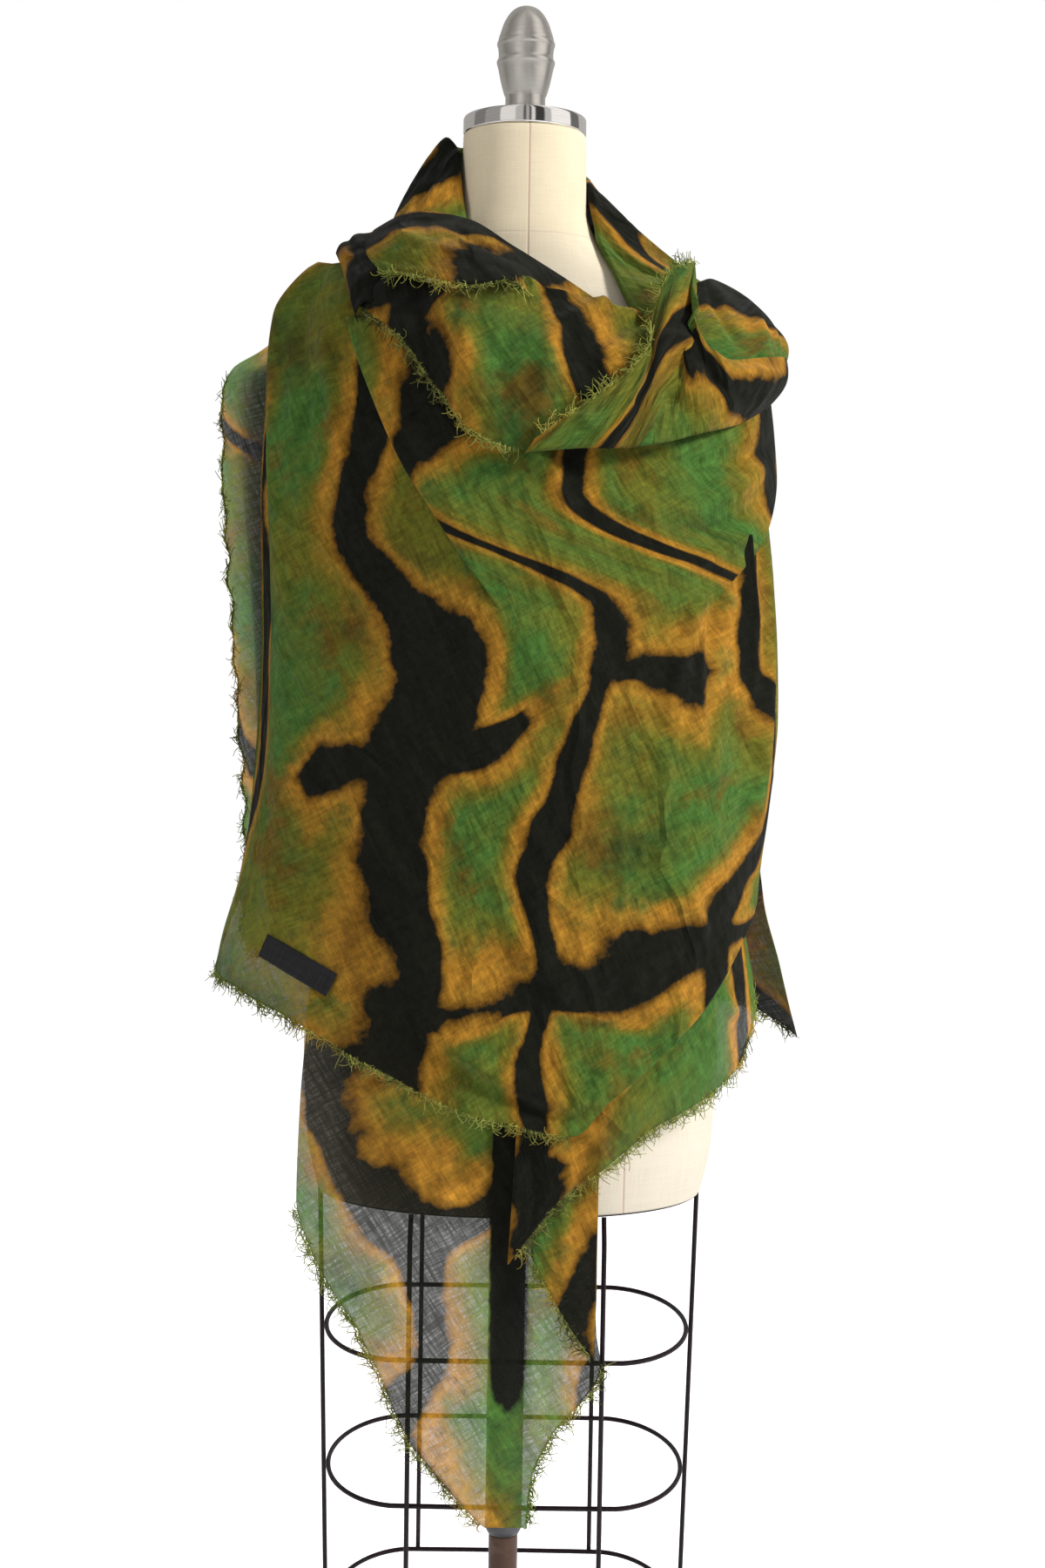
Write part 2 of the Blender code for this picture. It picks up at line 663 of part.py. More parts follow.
def add_turned(name, profile, steps, colour, roughness, metallic):
    """A profile of (radius, height) from the top down, turned about the upright axis."""
    mesh = bpy.data.meshes.new(name)
    spots = [(radius, 0.0, z) for radius, z in profile]
    mesh.from_pydata(spots, [(n, n + 1) for n in range(len(spots) - 1)], [])
    obj = add_object(name, mesh, colour, roughness, metallic)
    screw = obj.modifiers.new("turn", "SCREW")
    screw.steps = steps
    screw.render_steps = steps
    screw.use_merge_vertices = True
    screw.merge_threshold = 0.00001
    screw.use_smooth_shade = True
    return obj


def add_stand():
    cap_low = NECK_TOP + SEAM_GAP
    cap_top = cap_low + CAP_HEIGHT
    edge = 0.0012
    cap = [
        (0.0, cap_top),
        (CAP_RADIUS - edge, cap_top),
        (CAP_RADIUS, cap_top - edge),
        (CAP_RADIUS, cap_low),
        (0.0, cap_low),
    ]
    add_turned("neck_cap", cap, 28, METAL, 0.15, 1.0)
    foot = cap_top + SEAM_GAP
    # Radius and height above the cap of the finial's grooves and swellings, from the top down.
    finial = (
        (0.0, 0.0905), (0.0100, 0.0875), (0.0165, 0.0800), (0.0206, 0.0700), (0.0236, 0.0600),
        (0.0219, 0.0550), (0.0236, 0.0440), (0.0210, 0.0320), (0.0164, 0.0180), (0.0163, 0.0),
    )
    profile = [(radius, foot + height) for radius, height in finial] + [(0.0, foot)]
    add_turned("finial", profile, 16, METAL, 0.35, 1.0)
    base = (
        (0.0, BASE_HUB_HEIGHT), (BASE_HUB_RADIUS * 0.8, BASE_HUB_HEIGHT),
        (BASE_HUB_RADIUS, BASE_HUB_HEIGHT * 0.8), (BASE_HUB_RADIUS * 1.6, BASE_HEIGHT),
        (BASE_RADIUS - 0.006, BASE_HEIGHT * 0.7), (BASE_RADIUS, BASE_HEIGHT * 0.35),
        (BASE_RADIUS, 0.0), (0.0, 0.0),
    )
    add_turned("base", base, 32, IRON, 0.5, 0.6)
    pole_low = BASE_HUB_HEIGHT + SEAM_GAP
    pole_top = SLEEVE_LOW - SEAM_GAP
    pole = [(0.0, pole_top), (POLE_RADIUS, pole_top), (POLE_RADIUS, pole_low), (0.0, pole_low)]
    add_turned("pole", pole, 16, (0.07, 0.035, 0.02), 0.4, 0.0)
    top = TORSO_LOW - SEAM_GAP
    sleeve = [
        (0.0, top),
        (SLEEVE_RADIUS, top),
        (SLEEVE_RADIUS, SLEEVE_LOW + 0.006),
        (SLEEVE_RADIUS - 0.003, SLEEVE_LOW),
        (0.0, SLEEVE_LOW),
    ]
    add_turned("pole_sleeve", sleeve, 16, (0.09, 0.09, 0.10), 0.4, 0.2)


def wire_curve(name, spots, cyclic):
    curve = bpy.data.curves.new(name, "CURVE")
    curve.dimensions = "3D"
    curve.bevel_depth = WIRE_RADIUS
    curve.bevel_resolution = 0 if cyclic else 1
    curve.use_fill_caps = not cyclic
    spline = curve.splines.new("POLY")
    spline.points.add(len(spots) - 1)
    for point, spot in zip(spline.points, spots):
        point.co = (*spot, 1.0)
    spline.use_cyclic_u = cyclic
    return curve


def cage_share(z):
    return (TORSO_LOW - z) / (TORSO_LOW - CAGE_LOW)


def ring_spot(n, side, depth, z):
    """A ring is straight at the front and back, with a half oval at each end."""
    angle = 2 * math.pi * n / RING_POINTS
    x = RING_END_LENGTH * math.sin(angle)
    x += math.copysign(side - RING_END_LENGTH, math.sin(angle)) * min(1.0, 8 * abs(math.sin(angle)))
    return (x, -depth * math.cos(angle), z)


def add_cage():
    top = TORSO_LOW - SEAM_GAP
    wires = {
        "wire_left": (-1, 0),
        "wire_right": (1, 0),
        "wire_front_left": (-1, -1),
        "wire_front_right": (1, -1),
        "wire_back_left": (-1, 1),
        "wire_back_right": (1, 1),
    }
    for name, (side, depth) in wires.items():
        spots = []
        for z, reach, deep in (
            (top, WIRE_SIDE_TOP, WIRE_DEPTH_TOP),
            (CAGE_LOW, WIRE_SIDE_LOW, WIRE_DEPTH_LOW),
        ):
            spots.append((side * (WIRE_HALF_SPACING if depth else reach), depth * deep, z))
        add_object(name, wire_curve(name, spots, False), IRON, 0.4, 0.5)
    for number, z in enumerate(RING_HEIGHTS, 1):
        share = cage_share(z)
        side = between(WIRE_SIDE_TOP, WIRE_SIDE_LOW, share) - RING_INSET
        depth = between(WIRE_DEPTH_TOP, WIRE_DEPTH_LOW, share) - RING_INSET
        spots = [ring_spot(n, side, depth, z) for n in range(RING_POINTS)]
        name = f"ring_{number}"
        add_object(name, wire_curve(name, spots, True), IRON, 0.4, 0.5)


def main():
    clear_scene()
    collection = bpy.data.collections.new("shawl_on_form")
    bpy.context.scene.collection.children.link(collection)
    add_stand()
    add_torso()
    add_cage()
    add_shawl()


main()
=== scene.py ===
"""A linen gauze shawl with frayed edges, wound round the shoulders of a dress form."""

import math

import bpy
import numpy as np
from bpy.props import FloatProperty, FloatVectorProperty, PointerProperty
from mathutils import Matrix, Vector


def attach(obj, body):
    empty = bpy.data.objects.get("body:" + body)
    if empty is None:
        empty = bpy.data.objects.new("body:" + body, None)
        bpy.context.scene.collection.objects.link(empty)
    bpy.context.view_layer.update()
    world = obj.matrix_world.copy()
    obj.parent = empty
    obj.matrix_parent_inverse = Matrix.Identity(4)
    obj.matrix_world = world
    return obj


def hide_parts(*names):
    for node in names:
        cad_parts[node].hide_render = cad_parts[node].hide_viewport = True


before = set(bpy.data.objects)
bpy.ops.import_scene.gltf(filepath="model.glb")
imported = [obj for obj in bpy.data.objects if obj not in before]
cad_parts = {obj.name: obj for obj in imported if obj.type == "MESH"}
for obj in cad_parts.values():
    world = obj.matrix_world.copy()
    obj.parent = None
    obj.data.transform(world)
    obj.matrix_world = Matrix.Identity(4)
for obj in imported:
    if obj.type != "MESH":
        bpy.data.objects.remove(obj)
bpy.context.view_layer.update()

bl_info = {
    "name": "Linen shawl on a dress form",
    "version": (1, 0, 0),
    "blender": (4, 5, 0),
    "location": "3D View > Sidebar > Shawl",
    "description": "Drapes a frayed linen gauze shawl round a dress form on a wire cage and pole",
    "category": "Add Mesh",
}

# The solids' own sizes, in metres. A turn is in degrees about the upright axis, 0 at the front and
# positive towards +X. A reach is a distance from that axis.
SECTION_ROUNDNESS = 0.92
SEAM_GAP = 0.0003
TORSO_LOW = 0.657
TORSO_EDGE_RADIUS = 0.004
NECK_TOP = 1.527
CAP_RADIUS = 0.0503
CAP_HEIGHT = 0.0138
BASE_RADIUS = 0.200
BASE_HEIGHT = 0.018
BASE_HUB_RADIUS = 0.030
BASE_HUB_HEIGHT = 0.040
POLE_RADIUS = 0.0123
SLEEVE_RADIUS = 0.0155
SLEEVE_LOW = 0.359
RING_HEIGHTS = (0.541, 0.422, 0.300)
CAGE_LOW = 0.298
WIRE_SIDE_TOP = 0.1585
WIRE_SIDE_LOW = 0.1505
WIRE_DEPTH_TOP = 0.1105
WIRE_DEPTH_LOW = 0.1080
WIRE_HALF_SPACING = 0.077
WIRE_TOP_BEND = 0.015
WIRE_BEND_SHARE = 0.060
RING_INSET = 0.0045
RING_END_LENGTH = 0.067


def table(columns, *rows):
    """A short table, as one array of numbers for each named column. The first column ascends."""
    return dict(zip(columns.split(), (np.array(column, float) for column in zip(*rows))))


# The torso's half breadth and depths at each height.
TORSO = table(
    "z side front back",
    (0.657, 0.160, 0.110, 0.110),
    (0.700, 0.169, 0.114, 0.116),
    (0.780, 0.173, 0.112, 0.120),
    (0.870, 0.158, 0.102, 0.108),
    (0.980, 0.126, 0.088, 0.086),
    (1.080, 0.134, 0.096, 0.088),
    (1.235, 0.156, 0.116, 0.094),
    (1.300, 0.162, 0.104, 0.094),
    (1.350, 0.166, 0.084, 0.088),
    (1.385, 0.150, 0.066, 0.076),
    (1.405, 0.116, 0.056, 0.066),
    (1.425, 0.078, 0.052, 0.058),
    (1.445, 0.059, 0.051, 0.054),
    (1.465, 0.052, 0.050, 0.051),
    (1.527, 0.050, 0.050, 0.050),
)
# The hanging cloth's half breadths and depths at each height.
DRAPE = table(
    "z left right front back",
    (0.730, 0.250, 0.194, 0.150, 0.140),
    (0.800, 0.252, 0.197, 0.150, 0.138),
    (0.860, 0.243, 0.201, 0.150, 0.135),
    (0.920, 0.227, 0.204, 0.150, 0.130),
    (0.980, 0.218, 0.211, 0.150, 0.127),
    (1.050, 0.212, 0.217, 0.152, 0.124),
    (1.110, 0.210, 0.215, 0.155, 0.122),
    (1.180, 0.211, 0.209, 0.156, 0.125),
    (1.240, 0.212, 0.202, 0.152, 0.126),
    (1.300, 0.210, 0.198, 0.144, 0.122),
    (1.340, 0.209, 0.196, 0.132, 0.115),
    (1.370, 0.206, 0.187, 0.121, 0.107),
    (1.390, 0.197, 0.172, 0.111, 0.099),
    (1.405, 0.182, 0.152, 0.101, 0.091),
    (1.415, 0.158, 0.132, 0.093, 0.084),
    (1.424, 0.128, 0.110, 0.086, 0.078),
)
# Its large soft folds: where each starts and ends, its half width in degrees and how far it lifts.
FOLDS = table(
    "top_z top_turn low_z low_turn width lift",
    (1.180, 0.0, 0.900, 30.0, 10.0, 0.004),
    (1.160, 42.0, 0.820, 34.0, 9.0, 0.006),
    (1.150, 46.0, 0.900, 62.0, 9.0, -0.006),
    (1.300, -62.0, 0.860, -52.0, 9.0, 0.006),
    (1.320, -78.0, 0.880, -76.0, 8.0, -0.005),
    (1.020, -34.0, 0.740, 4.0, 9.0, 0.006),
    (0.960, -10.0, 0.740, 16.0, 8.0, -0.005),
    (1.380, 130.0, 0.780, 122.0, 9.0, 0.009),
    (1.380, 152.0, 0.780, 150.0, 8.0, -0.007),
    (1.390, 178.0, 0.790, 182.0, 11.0, 0.010),
    (1.380, 206.0, 0.790, 212.0, 9.0, -0.008),
    (1.370, 232.0, 0.800, 236.0, 9.0, 0.009),
    (1.200, 166.0, 0.760, 164.0, 7.0, -0.006),
)
# The heights of the front panel's top and of its slanting hem at each turn.
PANEL = table(
    "turn top hem",
    (-110.0, 1.419, 0.960),
    (-97.0, 1.420, 0.888),
    (-87.0, 1.422, 0.846),
    (-62.0, 1.420, 0.834),
    (-41.0, 1.398, 0.815),
    (-21.0, 1.340, 0.779),
    (-3.0, 1.315, 0.746),
    (13.0, 1.312, 0.733),
    (22.0, 1.312, 0.760),
    (47.0, 1.316, 0.822),
    (68.0, 1.335, 0.880),
    (85.0, 1.355, 0.912),
    (104.0, 1.366, 0.960),
)
# The panel's right side laps over the back drape: from what share across, by how many degrees, how
# far it stands off there, and over which turns it comes to stand off.
LAP_START = 0.97
LAP_TURN = 6.0
LAP_LIFT = 0.0028
LAP_LIFT_TURN = 98.0
LAP_LIFT_RUN = 8.0
# The height of the back drape's hem, from its right side to its left.
BACK_HEM = table(
    "share hem",
    (0.0, 0.783),
    (0.14, 0.812),
    (0.45, 0.790),
    (0.75, 0.815),
    (1.0, 0.850),
)
# The turns of the back drape's two sides at each height, and how far they stand off the form.
BACK_SIDES = table(
    "z right left left_flare right_flare",
    (0.780, 97.0, 246.0, 0.000, 0.050),
    (0.840, 97.0, 248.0, 0.000, 0.030),
    (0.900, 99.0, 256.0, 0.004, 0.012),
    (0.980, 105.0, 264.0, 0.010, 0.004),
    (1.060, 105.0, 268.0, 0.021, 0.000),
    (1.200, 105.0, 269.0, 0.031, 0.000),
    (1.316, 105.0, 269.0, 0.036, 0.000),
    (1.334, 105.0, 268.0, 0.031, 0.000),
    (1.355, 105.0, 258.0, 0.014, 0.000),
    (1.376, 105.0, 249.3, 0.005, 0.000),
    (1.400, 104.0, 249.3, 0.000, 0.000),
    (1.424, 101.0, 249.3, 0.000, 0.000),
)
# Where the back drape's sides start to stand off the form, and over how many degrees.
LEFT_FLARE_TURN = 205.0
LEFT_FLARE_RUN = 60.0
RIGHT_FLARE_TURN = 122.0
RIGHT_FLARE_RUN = 25.0
# The layer across the chest from its top to its foot: where its two ends are and how far it lies
# over the panel. It sinks into the panel at its foot, so that the two read as one cloth.
CHEST = table(
    "step left_turn left_z right_turn right_z lift",
    (0.00, -37.0, 1.364, 92.0, 1.312, 0.0075),
    (0.25, -30.0, 1.310, 89.0, 1.285, 0.0095),
    (0.50, -21.3, 1.249, 79.0, 1.245, 0.0105),
    (0.68, -13.4, 1.203, 63.0, 1.198, 0.0090),
    (0.85, -5.5, 1.155, 50.0, 1.165, 0.0050),
    (1.00, 1.4, 1.111, 42.4, 1.141, -0.0012),
)
# Bands of cloth, from one end to the other: where the upper and the lower edge are, and how far the
# cloth between them bellies out.
BAND_COLUMNS = "step top_turn top_reach top_z low_turn low_reach low_z belly"
COLLAR = table(
    BAND_COLUMNS,
    (0.00, -314.0, 0.130, 1.364, -303.0, 0.143, 1.378, 0.000),
    (0.06, -306.0, 0.096, 1.404, -297.0, 0.141, 1.392, -0.002),
    (0.12, -295.0, 0.068, 1.445, -290.0, 0.145, 1.403, -0.008),
    (0.22, -272.0, 0.055, 1.488, -270.0, 0.176, 1.394, -0.014),
    (0.26, -262.0, 0.056, 1.492, -261.0, 0.171, 1.400, -0.011),
    (0.34, -240.0, 0.059, 1.502, -240.0, 0.116, 1.421, 0.002),
    (0.52, -180.0, 0.068, 1.520, -180.0, 0.104, 1.410, 0.010),
    (0.74, -120.0, 0.070, 1.525, -120.0, 0.118, 1.428, 0.006),
    (0.84, -95.0, 0.064, 1.523, -92.0, 0.114, 1.440, 0.003),
    (0.93, -74.0, 0.0575, 1.508, -70.0, 0.113, 1.443, 0.002),
    (1.00, -48.0, 0.0620, 1.448, -52.0, 0.111, 1.434, 0.000),
)
INNER = table(
    BAND_COLUMNS,
    (0.000, -68.0, 0.128, 1.441, -43.0, 0.161, 1.397, 0.005),
    (0.160, -50.0, 0.114, 1.450, -31.0, 0.163, 1.391, 0.006),
    (0.360, -26.0, 0.101, 1.442, -16.0, 0.163, 1.381, 0.009),
    (0.571, -4.0, 0.099, 1.420, -2.0, 0.157, 1.383, 0.007),
    (0.643, 3.5, 0.101, 1.412, 4.0, 0.1435, 1.3735, 0.005),
    (0.714, 10.0, 0.105, 1.404, 9.0, 0.134, 1.370, 0.003),
    (0.800, 17.0, 0.110, 1.395, 16.0, 0.131, 1.360, 0.002),
    (1.000, 34.0, 0.126, 1.370, 32.0, 0.136, 1.348, 0.000),
)
COWL = table(
    BAND_COLUMNS,
    (0.00, -45.0, 0.147, 1.397, -48.0, 0.169, 1.372, 0.001),
    (0.14, -33.0, 0.145, 1.391, -32.0, 0.169, 1.341, 0.006),
    (0.27, -24.0, 0.146, 1.387, -22.4, 0.170, 1.307, 0.010),
    (0.40, -14.0, 0.147, 1.388, -12.6, 0.172, 1.273, 0.012),
    (0.54, 0.0, 0.146, 1.3875, 1.0, 0.175, 1.257, 0.012),
    (0.70, 14.0, 0.147, 1.377, 14.0, 0.176, 1.266, 0.010),
    (0.84, 26.0, 0.150, 1.370, 26.0, 0.178, 1.286, 0.007),
    (1.00, 44.0, 0.153, 1.365, 41.0, 0.178, 1.320, 0.002),
)
ROLL_FRONT = table(
    BAND_COLUMNS,
    (0.00, 3.5, 0.184, 1.263, 2.0, 0.183, 1.256, 0.000),
    (0.14, 12.0, 0.188, 1.282, 8.0, 0.185, 1.258, 0.002),
    (0.28, 20.0, 0.189, 1.301, 15.0, 0.189, 1.260, 0.005),
    (0.38, 31.0, 0.182, 1.331, 20.5, 0.192, 1.261, 0.007),
    (0.46, 38.0, 0.165, 1.366, 25.0, 0.194, 1.263, 0.007),
    (0.50, 46.5, 0.161, 1.402, 27.0, 0.196, 1.264, 0.006),
    (0.54, 59.5, 0.157, 1.413, 29.0, 0.197, 1.265, 0.006),
    (0.62, 50.0, 0.171, 1.385, 35.0, 0.200, 1.269, 0.008),
    (0.70, 46.0, 0.186, 1.358, 42.0, 0.204, 1.275, 0.011),
    (0.76, 47.0, 0.198, 1.339, 48.0, 0.204, 1.279, 0.012),
    (0.82, 51.5, 0.206, 1.331, 55.0, 0.204, 1.284, 0.012),
    (0.87, 64.0, 0.213, 1.338, 66.0, 0.200, 1.293, 0.011),
    (0.91, 82.0, 0.2165, 1.347, 83.0, 0.199, 1.305, 0.009),
    (0.955, 104.0, 0.212, 1.356, 104.0, 0.196, 1.320, 0.007),
    (1.00, 129.0, 0.152, 1.352, 128.0, 0.150, 1.342, 0.000),
)
ROLL_BACK = table(
    BAND_COLUMNS,
    (0.00, 66.0, 0.148, 1.400, 50.0, 0.160, 1.350, 0.000),
    (0.16, 79.0, 0.157, 1.409, 51.0, 0.176, 1.341, 0.004),
    (0.34, 90.0, 0.180, 1.403, 57.0, 0.196, 1.322, 0.012),
    (0.52, 96.0, 0.197, 1.395, 67.0, 0.209, 1.328, 0.011),
    (0.66, 101.0, 0.205, 1.388, 84.0, 0.2150, 1.340, 0.008),
    (0.77, 111.0, 0.184, 1.391, 106.0, 0.209, 1.354, 0.005),
    (0.88, 128.0, 0.140, 1.400, 126.0, 0.164, 1.364, 0.002),
    (1.00, 156.0, 0.088, 1.408, 150.0, 0.104, 1.388, 0.000),
)
UNDER = table(
    BAND_COLUMNS,
    (0.00, 5.0, 0.138, 0.800, 1.0, 0.139, 0.631, 0.000),
    (0.10, 10.0, 0.139, 0.810, 9.0, 0.140, 0.657, 0.000),
    (0.24, 19.0, 0.142, 0.820, 18.8, 0.146, 0.687, 0.000),
    (0.36, 28.0, 0.145, 0.830, 27.6, 0.153, 0.702, 0.000),
    (0.52, 42.0, 0.153, 0.850, 41.5, 0.164, 0.731, 0.002),
    (0.76, 68.0, 0.174, 0.880, 68.0, 0.188, 0.764, 0.002),
    (0.90, 82.0, 0.184, 0.900, 82.0, 0.200, 0.796, 0.000),
    (1.00, 94.0, 0.186, 0.920, 94.0, 0.204, 0.836, 0.000),
)
# The rolled ear from back to front: its middle line, its radius, how much wider it is on its right,
# and the angles at which its cloth starts and stops.
EAR = table(
    "step x y z radius right start stop",
    (0.00, -0.130, 0.014, 1.424, 0.013, 1.2, 10.0, 170.0),
    (0.35, -0.131, -0.030, 1.421, 0.020, 1.9, 12.0, 165.0),
    (0.65, -0.123, -0.080, 1.400, 0.0175, 2.0, 5.0, 165.0),
    (1.00, -0.116, -0.120, 1.362, 0.011, 1.0, -30.0, 170.0),
)
# The tail's two sides at each height, and its depth, its sweep back at the sides and its pleat.
TAIL = table(
    "z left right",
    (0.413, -0.014, 0.018),
    (0.451, -0.050, 0.021),
    (0.486, -0.077, 0.035),
    (0.543, -0.104, 0.075),
    (0.571, -0.119, 0.071),
    (0.620, -0.151, 0.069),
    (0.670, -0.168, 0.069),
    (0.740, -0.166, 0.070),
    (0.840, -0.158, 0.072),
)
TAIL_DEPTH = 0.122
TAIL_SWEEP = 0.024
TAIL_HALF_WIDTH = 0.170
PLEAT_LEFT = -0.012
PLEAT_RIGHT = 0.016
PLEAT_DEPTH = 0.005
PLEAT_SLOPE = 0.006
TAIL_FOLD = table(
    "x top low",
    (0.019, 0.745, 0.634),
    (0.035, 0.745, 0.604),
    (0.052, 0.745, 0.575),
    (0.069, 0.745, 0.551),
)
TAIL_FOLD_DEPTH = 0.1325
TAIL_FOLD_SWEEP = 1.6
LABEL_LENGTH = 0.062
LABEL_WIDTH = 0.020
LABEL_TILT = 25.0
LABEL_X = -0.166
LABEL_Z = 0.858
LABEL_LIFT = 0.0019
LABEL_CURL = 0.0012
LABEL_THICKNESS = 0.0006


def read(rows, column, at):
    """The column's values at these places in the first column, on a smooth curve."""
    keys, values = next(iter(rows.values())), rows[column]
    rise = np.diff(values) / np.diff(keys)
    slopes = np.zeros(len(keys))
    slopes[0], slopes[-1] = rise[0], rise[-1]
    before, after = rise[:-1], rise[1:]
    same = before * after > 0
    slopes[1:-1][same] = 2 * before[same] * after[same] / (before[same] + after[same])
    at = np.clip(at, keys[0], keys[-1])
    low = np.clip(np.searchsorted(keys, at, side="right") - 1, 0, len(keys) - 2)
    span = keys[low + 1] - keys[low]
    share = (at - keys[low]) / span
    curve = values[low] + (values[low + 1] - values[low]) * share**2 * (3 - 2 * share)
    ends = slopes[low] * (1 - share) - slopes[low + 1] * share
    return curve + share * (1 - share) * span * ends


def between(start, stop, share):
    """The value at this share of the way."""
    return start + (stop - start) * share


def smooth_step(value):
    """Eases from 0 to 1."""
    value = np.clip(value, 0.0, 1.0)
    return value * value * (3 - 2 * value)


def unit(vectors):
    """The same directions at a length of 1."""
    return vectors / (np.linalg.norm(vectors, axis=-1, keepdims=True) + 1e-12)


def spot(x, y, z):
    return np.stack(np.broadcast_arrays(x, y, z), axis=-1)


def polar(turn, reach, z):
    """A point at this turn and reach from the upright axis."""
    angle = np.radians(turn)
    return spot(reach * np.sin(angle), -reach * np.cos(angle), z)


def rounded_section(turn, side, depth, z):
    """A point on a softly squared oval of these half sizes."""
    sine, cosine = np.sin(np.radians(turn)), np.cos(np.radians(turn))
    x = side * np.copysign(np.abs(sine) ** SECTION_ROUNDNESS, sine)
    y = -depth * np.copysign(np.abs(cosine) ** SECTION_ROUNDNESS, cosine)
    return spot(x, y, z)


def fold_lift(turn, z):
    """How far the large soft folds stand out of the hanging cloth at this place."""
    lift = 0.0
    for top_z, top_turn, low_z, low_turn, width, height in zip(*FOLDS.values()):
        share = np.clip((top_z - z) / (top_z - low_z), 0.0, 1.0)
        side = (turn - between(top_turn, low_turn, share)) / width
        lift = lift + height * np.sin(math.pi * share) * np.exp(-side * side)
    return lift


def drape_point(turn, z, lift=0.0):
    """A point on the hanging cloth, with its large soft folds."""
    out = lift + fold_lift(turn, z)
    side = np.where(np.sin(np.radians(turn)) < 0, read(DRAPE, "left", z), read(DRAPE, "right", z))
    depth = np.where(np.cos(np.radians(turn)) > 0, read(DRAPE, "front", z), read(DRAPE, "back", z))
    return rounded_section(turn, side + out, depth + out, z)


def panel_place(across, down):
    """The turn and height of a place on the front panel."""
    turn = between(PANEL["turn"][0], PANEL["turn"][-1], across)
    lap = smooth_step((across - LAP_START) / (1.0 - LAP_START))
    return turn + LAP_TURN * lap, between(read(PANEL, "top", turn), read(PANEL, "hem", turn), down)


def panel_point(across, down):
    turn, z = panel_place(across, down)
    return drape_point(turn, z, LAP_LIFT * smooth_step((turn - LAP_LIFT_TURN) / LAP_LIFT_RUN))


def back_place(across, down):
    """The turn and height of a place on the back drape."""
    z = between(DRAPE["z"][-1], read(BACK_HEM, "hem", across), down)
    return between(read(BACK_SIDES, "right", z), read(BACK_SIDES, "left", z), across), z


def back_point(across, down):
    turn, z = back_place(across, down)
    left = smooth_step((turn - LEFT_FLARE_TURN) / LEFT_FLARE_RUN)
    right = smooth_step((RIGHT_FLARE_TURN - turn) / RIGHT_FLARE_RUN)
    flare = read(BACK_SIDES, "left_flare", z) * left + read(BACK_SIDES, "right_flare", z) * right
    return drape_point(turn, z, flare)


def chest_place(across, down):
    """The turn and height of a place on the layer across the chest."""
    turn = between(read(CHEST, "left_turn", down), read(CHEST, "right_turn", down), across)
    return turn, between(read(CHEST, "left_z", down), read(CHEST, "right_z", down), across)


def chest_point(across, down):
    return drape_point(*chest_place(across, down), read(CHEST, "lift", down))


def band_point(rows):
    """The surface of a band of cloth between its upper and lower edges."""

    def point(across, down):
        turn, reach, z = (
            between(read(rows, "top_" + part, across), read(rows, "low_" + part, across), down)
            for part in ("turn", "reach", "z")
        )
        return polar(turn, reach + read(rows, "belly", across) * np.sin(math.pi * down), z)

    return point


def ear_point(around, along):
    """The small rolled ear: an open tube round a bent line."""
    centre = spot(*(read(EAR, axis, along) for axis in "xyz"))
    angle = np.radians(between(read(EAR, "start", along), read(EAR, "stop", along), around))
    radius = read(EAR, "radius", along)[..., None]
    wider = np.where(np.cos(angle) < 0, read(EAR, "right", along), 1.0)
    return centre + radius * spot(-wider * np.cos(angle), 0.0, np.sin(angle))


def tail_point(across, down):
    """The tail, with its narrow recessed pleat."""
    z = between(TAIL["z"][-1], TAIL["z"][0], down)
    x = between(read(TAIL, "left", z), read(TAIL, "right", z), across)
    depth = TAIL_DEPTH - TAIL_SWEEP * (x / TAIL_HALF_WIDTH) ** 2
    into = smooth_step((x - PLEAT_LEFT + PLEAT_SLOPE) / PLEAT_SLOPE)
    out = smooth_step((x - PLEAT_RIGHT) / PLEAT_SLOPE)
    return spot(x, -depth - PLEAT_DEPTH * (1 - into + out), z)


def tail_fold_point(across, down):
    inner, outer = TAIL_FOLD["x"][0], TAIL_FOLD["x"][-1]
    x = between(inner, outer, across)
    z = between(read(TAIL_FOLD, "top", x), read(TAIL_FOLD, "low", x), down)
    return spot(x, -TAIL_FOLD_DEPTH + TAIL_FOLD_SWEEP * (x - inner) ** 2, z)


def label_point(across, down):
    tilt = math.radians(LABEL_TILT)
    along, up = LABEL_LENGTH * (across - 0.5), LABEL_WIDTH * (0.5 - down)
    x = LABEL_X + along * math.cos(tilt) + up * math.sin(tilt)
    z = LABEL_Z - along * math.sin(tilt) + up * math.cos(tilt)
    share = np.minimum(np.abs(x) / read(DRAPE, "left", z), 1.0)
    turn = -np.degrees(np.arcsin(share ** (1 / SECTION_ROUNDNESS)))
    return drape_point(turn, z, LABEL_LIFT + LABEL_CURL * (2 * across - 1) ** 4)


